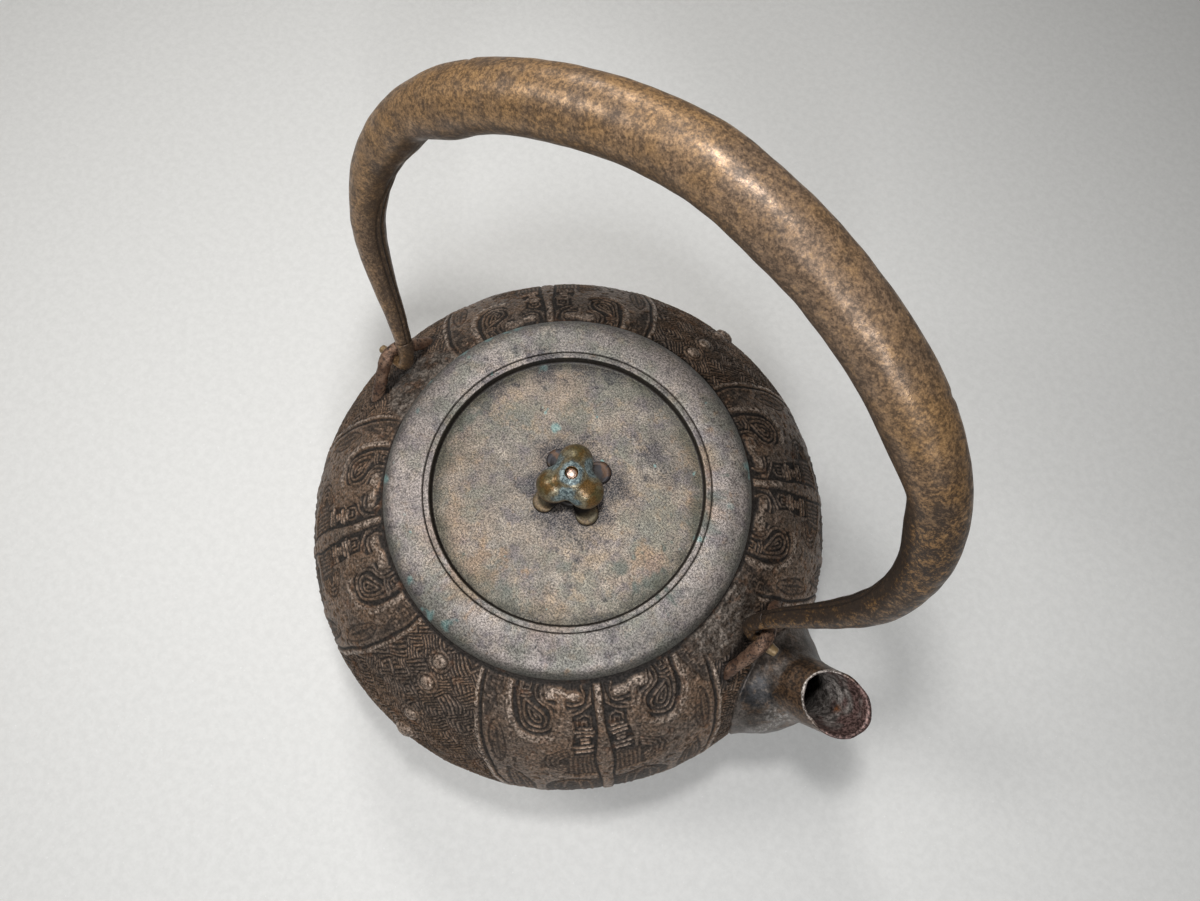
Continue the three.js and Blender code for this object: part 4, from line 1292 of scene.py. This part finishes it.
class Look:
    """A material built up node by node round one Principled shader."""

    def __init__(self, name, metallic, specular=0.5):
        self.material = bpy.data.materials.new(name)
        self.material.use_nodes = True
        self.tree = self.material.node_tree
        self.shader = self.tree.nodes["Principled BSDF"]
        self.shader.inputs["Metallic"].default_value = metallic
        self.shader.inputs["Specular IOR Level"].default_value = specular
        self.place = self.tree.nodes.new("ShaderNodeTexCoord").outputs["Object"]

    def give(self, socket, value):
        if isinstance(value, bpy.types.NodeSocket):
            self.tree.links.new(value, socket)
        else:
            socket.default_value = value

    def noise(self, size, detail=3, roughness=0.55, stretch=(1, 1, 1)):
        """Smooth noise from 0 to 1, with features of a size in millimetres."""
        node = self.tree.nodes.new("ShaderNodeTexNoise")
        node.inputs["Scale"].default_value = 1 / (size * METRES)
        node.inputs["Detail"].default_value = detail
        node.inputs["Roughness"].default_value = roughness
        mapping = self.tree.nodes.new("ShaderNodeMapping")
        mapping.inputs["Scale"].default_value = stretch
        self.tree.links.new(self.place, mapping.inputs["Vector"])
        self.tree.links.new(mapping.outputs["Vector"], node.inputs["Vector"])
        return node.outputs["Fac"]

    def attribute(self, name):
        node = self.tree.nodes.new("ShaderNodeAttribute")
        node.attribute_name = name
        return node.outputs["Fac"]

    def between(self, value, low, high, start=0.0, end=1.0):
        """A value that runs smoothly from start to end as the input runs from low to high."""
        node = self.tree.nodes.new("ShaderNodeMapRange")
        node.interpolation_type = "SMOOTHSTEP"
        self.give(node.inputs["Value"], value)
        for key, number in (("From Min", low), ("From Max", high), ("To Min", start), ("To Max", end)):
            node.inputs[key].default_value = number
        return node.outputs["Result"]

    def patches(self, low, high, size, detail=3, roughness=0.55):
        """1 in ragged patches where smooth noise is above high, and 0 where it is below low."""
        return self.between(self.noise(size, detail, roughness), low, high)

    def maths(self, operation, first, second):
        node = self.tree.nodes.new("ShaderNodeMath")
        node.operation = operation
        self.give(node.inputs[0], first)
        self.give(node.inputs[1], second)
        return node.outputs["Value"]

    def times(self, first, second):
        return self.maths("MULTIPLY", first, second)

    def plus(self, first, second):
        return self.maths("ADD", first, second)

    def mix(self, share, first, second, kind="MIX"):
        """A colour between two colours."""
        node = self.tree.nodes.new("ShaderNodeMix")
        node.data_type = "RGBA"
        node.blend_type = kind
        node.clamp_factor = True
        self.give(node.inputs[0], share)
        self.give(node.inputs[6], first)
        self.give(node.inputs[7], second)
        return node.outputs[2]

    def lay(self, colour, share, strength, over):
        """A colour with another laid over it in places, up to a strength."""
        return self.mix(self.times(share, strength), colour, over)

    def speckle(self, colour, grain, low, high, dark, light):
        """A colour made darker and lighter by fine grain."""
        return self.mix(1.0, colour, self.between(grain, low, high, dark, light), "MULTIPLY")

    def bump(self, height, depth, normal=None):
        """Fine relief from a height between 0 and 1 and a depth in millimetres."""
        node = self.tree.nodes.new("ShaderNodeBump")
        node.inputs["Strength"].default_value = 1
        node.inputs["Distance"].default_value = depth * METRES
        self.give(node.inputs["Height"], height)
        if normal is not None:
            self.give(node.inputs["Normal"], normal)
        return node.outputs["Normal"]

    def finish(self, colour, roughness, normal=None):
        self.give(self.shader.inputs["Base Color"], colour)
        self.give(self.shader.inputs["Roughness"], roughness)
        if normal is not None:
            self.give(self.shader.inputs["Normal"], normal)
        return self.material


def cast_iron():
    """Brown cast iron with dark hollows and worn, greyer crests, and painted shadow under the lugs' bars
    and on the seat.
    """
    look = Look("cast_iron", metallic=0.45)
    level = look.attribute("relief")
    blotch = look.noise(13, 4, 0.6)
    grain = look.noise(0.8, 3, 0.7)
    hollow = look.mix(blotch, srgb(38, 35, 34), srgb(51, 44, 38))
    brown = look.mix(look.between(blotch, 0.38, 0.62), srgb(91, 78, 68), srgb(107, 86, 69))
    colour = look.mix(look.between(level, 0.0, 0.7), hollow, brown)
    worn = look.times(look.between(level, 0.86, 1.0), look.between(grain, 0.35, 0.6))
    colour = look.lay(colour, worn, 0.85, srgb(156, 140, 127))
    colour = look.lay(colour, look.patches(0.56, 0.72, 5, 4), 0.4, srgb(108, 74, 50))
    pale = look.times(look.patches(0.5, 0.66, 1.1, 3, 0.7), look.between(level, 0.55, 0.8))
    colour = look.lay(colour, pale, 0.6, srgb(142, 126, 112))
    cast = look.mix(look.patches(0.42, 0.6, 3.6, 5, 0.7), srgb(70, 60, 52), srgb(112, 103, 95))
    cast = look.lay(cast, look.patches(0.54, 0.66, 4.4), 0.55, srgb(100, 74, 56))
    colour = look.mix(look.attribute("patch"), colour, cast)
    lining = look.mix(look.patches(0.4, 0.6, 6, 5, 0.65), srgb(82, 60, 46), srgb(118, 92, 74))
    colour = look.mix(look.attribute("inside"), colour, lining)
    # Painted shadow: nearly black close under the lugs' bars
    colour = look.mix(look.between(look.attribute("painted_shade"), 0, 1, 0, 0.8), colour, srgb(34, 29, 27))
    colour = look.speckle(colour, grain, 0.36, 0.64, 0.38, 1.75)
    roughness = look.between(level, 0.2, 1.0, 0.66, 0.42)
    fine = look.bump(grain, 0.2)
    return look.finish(colour, roughness, look.bump(look.noise(0.45, 2), 0.06, fine))


def spout_lining(look, fine, purple):
    """The spout's inside: streaked grey scale, purple near the lip, and a spot of rust."""
    scale = look.mix(look.patches(0.4, 0.62, 1.8, 4, 0.7), srgb(92, 87, 84), srgb(182, 174, 168))
    lining = look.mix(look.attribute("near_lip"), scale, purple)
    rust = look.times(look.attribute("rust_spot"), look.between(fine, 0.35, 0.6, 0.2, 0.9))
    return look.mix(rust, lining, srgb(168, 108, 62))


def spout_iron():
    """The spout's smoother iron: brown neck, greyer skirt with painted reflection, dark lining and a nicked
    lip.
    """
    look = Look("spout_iron", metallic=0.45)
    fine = look.noise(0.8, 3, 0.75)
    blotch = look.noise(6, 4, 0.6)
    grey = look.mix(look.between(blotch, 0.4, 0.62), srgb(62, 55, 50), srgb(100, 92, 86))
    brown = look.mix(look.patches(0.4, 0.6, 1.6, 4, 0.7), srgb(62, 50, 41), srgb(92, 71, 53))
    grey = look.lay(grey, look.patches(0.52, 0.64, 3.5, 4), 0.6, brown)
    edge = look.plus(look.attribute("warm"), look.between(look.noise(4), 0.3, 0.7, -0.3, 0.3))
    colour = look.mix(look.between(edge, 0.3, 0.7), grey, brown)
    ragged = look.between(look.noise(2, 4, 0.7), 0.35, 0.65, -0.5, 0.4)
    blue = look.plus(look.attribute("blued"), ragged)
    colour = look.mix(look.between(blue, 0.3, 0.9, 0, 0.85), colour, srgb(40, 41, 44))
    # Painted reflection: pale grey streaks at the given places on the skirt
    streak = look.between(look.noise(1.4, 4, 0.7, stretch=(1, 1, 0.35)), 0.44, 0.62, 0.1, 0.85)
    colour = look.mix(look.times(look.attribute("painted_reflection"), streak), colour, srgb(150, 146, 142))
    purple = look.mix(look.between(fine, 0.4, 0.62), srgb(78, 60, 57), srgb(126, 102, 97))
    colour = look.mix(look.attribute("inside"), colour, spout_lining(look, fine, purple))
    colour = look.mix(look.attribute("outer_lip"), colour, purple)
    nick = look.times(look.attribute("lip"), look.between(fine, 0.4, 0.58, 0.25, 1))
    colour = look.mix(nick, colour, srgb(172, 164, 158))
    colour = look.speckle(colour, fine, 0.36, 0.64, 0.55, 1.4)
    return look.finish(colour, look.between(blotch, 0.3, 0.7, 0.34, 0.5), look.bump(fine, 0.1))


def lug_iron():
    """Pitted brown iron, a little paler where the hook has worn it."""
    look = Look("lug_iron", metallic=0.4)
    pits = look.noise(0.9, 4, 0.75)
    colour = look.mix(look.patches(0.4, 0.62, 4), srgb(92, 68, 54), srgb(128, 102, 84))
    colour = look.mix(look.between(pits, 0.5, 0.6), colour, srgb(44, 35, 31))
    bright = look.times(look.attribute("worn"), look.between(pits, 0.38, 0.5, 0.7, 0))
    colour = look.mix(bright, colour, srgb(142, 112, 92))
    return look.finish(colour, look.between(pits, 0.35, 0.65, 0.44, 0.7), look.bump(pits, 0.16))


def forged_iron():
    """The bail's tan skin with fine dark mottling, rustier and darker down the legs."""
    look = Look("forged_iron", metallic=0.3)
    leg, inner = look.attribute("leg"), look.attribute("inner_side")
    speckle = look.noise(0.85, 4, 0.78)
    mottle = look.noise(2.6, 4, 0.7)
    blotch = look.noise(7, 4, 0.6)
    tan = look.mix(look.patches(0.4, 0.6, 26), srgb(148, 116, 80), srgb(134, 110, 88))
    tan = look.mix(look.between(blotch, 0.44, 0.68, 0, 0.8), tan, srgb(112, 92, 74))
    ochre = look.mix(look.between(blotch, 0.4, 0.6), srgb(138, 104, 64), srgb(100, 78, 56))
    colour = look.mix(leg, tan, ochre)
    shift = look.plus(speckle, look.between(mottle, 0.35, 0.65, -0.06, 0.06))
    shift = look.plus(shift, look.between(leg, 0, 1, 0, 0.06))
    shift = look.plus(shift, look.between(inner, 0.1, 0.9, 0, 0.08))
    dark = look.times(look.between(shift, 0.42, 0.62), look.between(leg, 0, 1, 0.7, 0.98))
    colour = look.mix(dark, colour, srgb(50, 40, 33))
    colour = look.mix(look.between(shift, 0.3, 0.45, 0.5, 0), colour, srgb(176, 142, 100))
    colour = look.mix(look.between(inner, 0.3, 1, 0, 0.35), colour, srgb(50, 41, 34))
    colour = look.speckle(colour, look.noise(0.5, 2, 0.8), 0.36, 0.64, 0.8, 1.2)
    colour = look.mix(look.attribute("seam"), colour, srgb(28, 24, 22))
    colour = look.mix(look.attribute("worn"), colour, srgb(132, 110, 78))
    return look.finish(colour, look.between(mottle, 0.35, 0.65, 0.34, 0.5), look.bump(speckle, 0.06))


def lid_bronze():
    """Grey bronze with mottled patina and a sandy grain, browner on the disc, with painted shade in the
    groove, at the rim's outer edge, by the ledge wall and below the knob.
    """
    look = Look("lid_bronze", metallic=0.35)
    grain = look.noise(0.55, 2, 0.85)
    on_disc = look.attribute("disc")
    broad = look.patches(0.38, 0.62, 21, 4, 0.6)
    rim = look.mix(broad, srgb(146, 137, 132), srgb(126, 122, 117))
    disc = look.mix(broad, srgb(139, 126, 113), srgb(118, 112, 104))
    colour = look.mix(on_disc, rim, disc)
    tan = look.times(look.patches(0.53, 0.65, 5, 4, 0.68), look.between(on_disc, 0, 1, 0.25, 0.55))
    for share, strength, over in (
        (look.patches(0.5, 0.64, 7, 4, 0.68), 0.62, srgb(98, 91, 95)),
        (look.patches(0.5, 0.64, 11, 4, 0.6), 0.5, srgb(108, 110, 98)),
        (tan, 1, srgb(148, 130, 108)),
        (look.patches(0.56, 0.66, 3.4, 4, 0.7), 0.5, srgb(82, 76, 76)),
        (look.patches(0.54, 0.66, 8.5, 5, 0.7), 0.42, srgb(164, 153, 140)),
        (look.attribute("amber"), 0.5, srgb(136, 104, 70)),
        (look.attribute("moss"), 0.8, srgb(78, 88, 82)),
        # Greenish patina with painted shade, darkest by the ledge wall
        (look.attribute("wall_patina_and_shade"), 0.85, srgb(68, 67, 55)),
        # Painted shade in dark olive on the rim's rolled-down outer edge
        (look.attribute("rim_edge_shade"), 0.8, srgb(60, 60, 54)),
        # Dark blots, the dark ring round the knob, and painted shadow below the knob
        (look.attribute("dark"), look.between(grain, 0.4, 0.6, 1, 0.55), srgb(42, 41, 48)),
        (look.attribute("verdigris"), look.between(grain, 0.4, 0.6, 1, 0.45), srgb(120, 160, 158)),
        # Painted shade in the groove and at the foot of the ledge wall
        (look.attribute("groove"), 1, srgb(44, 39, 35)),
    ):
        colour = look.lay(colour, share, strength, over)
    colour = look.speckle(colour, grain, 0.34, 0.66, 0.38, 1.54)
    roughness = look.between(look.noise(3), 0.35, 0.65, 0.36, 0.48)
    return look.finish(colour, roughness, look.bump(grain, 0.12))


def knob_bronze():
    """Warm bronze with blue-green patina in the hollows between the lobes."""
    look = Look("knob_bronze", metallic=0.35)
    grain = look.noise(0.5, 2, 0.8)
    blotch = look.noise(3.4, 4)
    valley = look.attribute("valley")
    amber = look.mix(look.between(blotch, 0.42, 0.6), srgb(112, 86, 50), srgb(96, 86, 56))
    edge = look.plus(valley, look.between(blotch, 0.3, 0.7, -0.18, 0.18))
    olive = look.mix(look.patches(0.4, 0.6, 2), srgb(108, 98, 78), srgb(132, 124, 102))
    colour = look.mix(look.between(edge, 0.12, 0.4), amber, olive)
    patina = look.mix(look.patches(0.4, 0.62, 0.9, 3, 0.7), srgb(78, 92, 96), srgb(148, 164, 164))
    colour = look.mix(look.between(edge, 0.48, 0.8), colour, patina)
    colour = look.speckle(colour, grain, 0.36, 0.64, 0.6, 1.38)
    return look.finish(colour, look.between(valley, 0.4, 0.9, 0.28, 0.5), look.bump(grain, 0.07))


def petal_bronze():
    """Dull bronze, with painted shade on the petals towards +Y, and painted shadow under the knob and low
    on its edges.
    """
    look = Look("petal_bronze", metallic=0.4)
    grain = look.noise(0.6, 3, 0.7)
    blotch = look.noise(3)
    colour = look.mix(look.between(blotch, 0.4, 0.6), srgb(132, 112, 84), srgb(106, 98, 78))
    colour = look.mix(look.between(grain, 0.46, 0.6, 0, 0.7), colour, srgb(70, 58, 50))
    # Painted shade: a darker grey and brown for the petals towards +Y
    painted_shade = look.mix(look.between(blotch, 0.4, 0.55), srgb(58, 56, 60), srgb(100, 76, 60))
    colour = look.mix(look.attribute("shaded_side"), colour, painted_shade)
    # Painted shadow: nearly black under the knob and low on the edges
    colour = look.mix(look.attribute("unshaded"), srgb(34, 30, 28), colour)
    return look.finish(colour, 0.5, look.bump(grain, 0.06))


def copper():
    """Bright copper, a little browner in patches."""
    look = Look("copper", metallic=0.95)
    grain = look.noise(0.6, 2)
    colour = look.mix(look.between(grain, 0.5, 0.75), srgb(250, 222, 206), srgb(206, 146, 122))
    return look.finish(colour, 0.34, look.bump(grain, 0.02))


def floor_stone():
    """A pale, faintly clouded counter."""
    look = Look("floor_stone", metallic=0, specular=0.3)
    colour = look.mix(look.patches(0.32, 0.68, 3.2, 5, 0.75), srgb(232, 232, 230), srgb(240, 240, 238))
    colour = look.mix(look.patches(0.69, 0.75, 1, 2), colour, srgb(250, 250, 249))
    return look.finish(colour, 0.5)


# Camera, light and floor

def add_camera():
    """The camera, at the photograph's place and angle."""
    forward, up = Vector(CAMERA_FORWARD).normalized(), Vector(CAMERA_UP).normalized()
    right = forward.cross(up).normalized()
    up = right.cross(forward)
    camera = bpy.data.objects.new("camera", bpy.data.cameras.new("camera"))
    camera.data.sensor_width = CAMERA_SENSOR
    camera.data.lens = CAMERA_LENS
    camera.data.clip_start = CAMERA_NEAR
    turn = Matrix((right, up, -forward)).transposed()
    camera.matrix_world = Matrix.Translation(Vector(CAMERA_PLACE) * METRES) @ turn.to_4x4()
    bpy.context.scene.collection.objects.link(camera)
    bpy.context.scene.camera = camera


def add_lamp(name, place, size, power, colour):
    """A soft square lamp at a place in metres, turned to the kettle's foot."""
    lamp = bpy.data.lights.new(name, "AREA")
    lamp.size = size
    lamp.energy = power
    lamp.color = colour
    piece = bpy.data.objects.new(name, lamp)
    piece.visible_camera = False
    piece.location = place
    piece.rotation_euler = (-Vector(place)).to_track_quat("-Z", "Y").to_euler()
    bpy.context.scene.collection.objects.link(piece)


def add_world():
    """Faint even light from all round."""
    world = bpy.data.worlds.new("studio")
    world.use_nodes = True
    background = world.node_tree.nodes["Background"]
    background.inputs["Color"].default_value = WORLD_COLOUR
    background.inputs["Strength"].default_value = WORLD_STRENGTH
    bpy.context.scene.world = world


def add_floor(material):
    size = FLOOR_HALF_SIZE
    corners = [(-size, -size, 0), (size, -size, 0), (size, size, 0), (-size, size, 0)]
    floor = add_mesh("floor", corners, [[(0, 1, 2, 3)]], material)


def main():
    bpy.context.scene.view_settings.view_transform = "Standard"
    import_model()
    add_camera()
    add_world()
    for lamp in LAMPS:
        add_lamp(*lamp)
    add_floor(floor_stone())
    kettle_body(cast_iron())
    spout(spout_iron())
    wrought = lug_iron()
    lug("lug_front", end=1, seed=61, material=wrought)
    lug("lug_rear", end=-1, seed=71, material=wrought)
    lid(lid_bronze())
    knob_petals(petal_bronze())
    knob(knob_bronze())
    rivet(copper())
    washer(copper())
    forged = forged_iron()
    bail_handle(forged)
    bail_hook("bail_hook_front", end=1, seed=81, material=forged)
    bail_hook("bail_hook_rear", end=-1, seed=91, material=forged)


main()
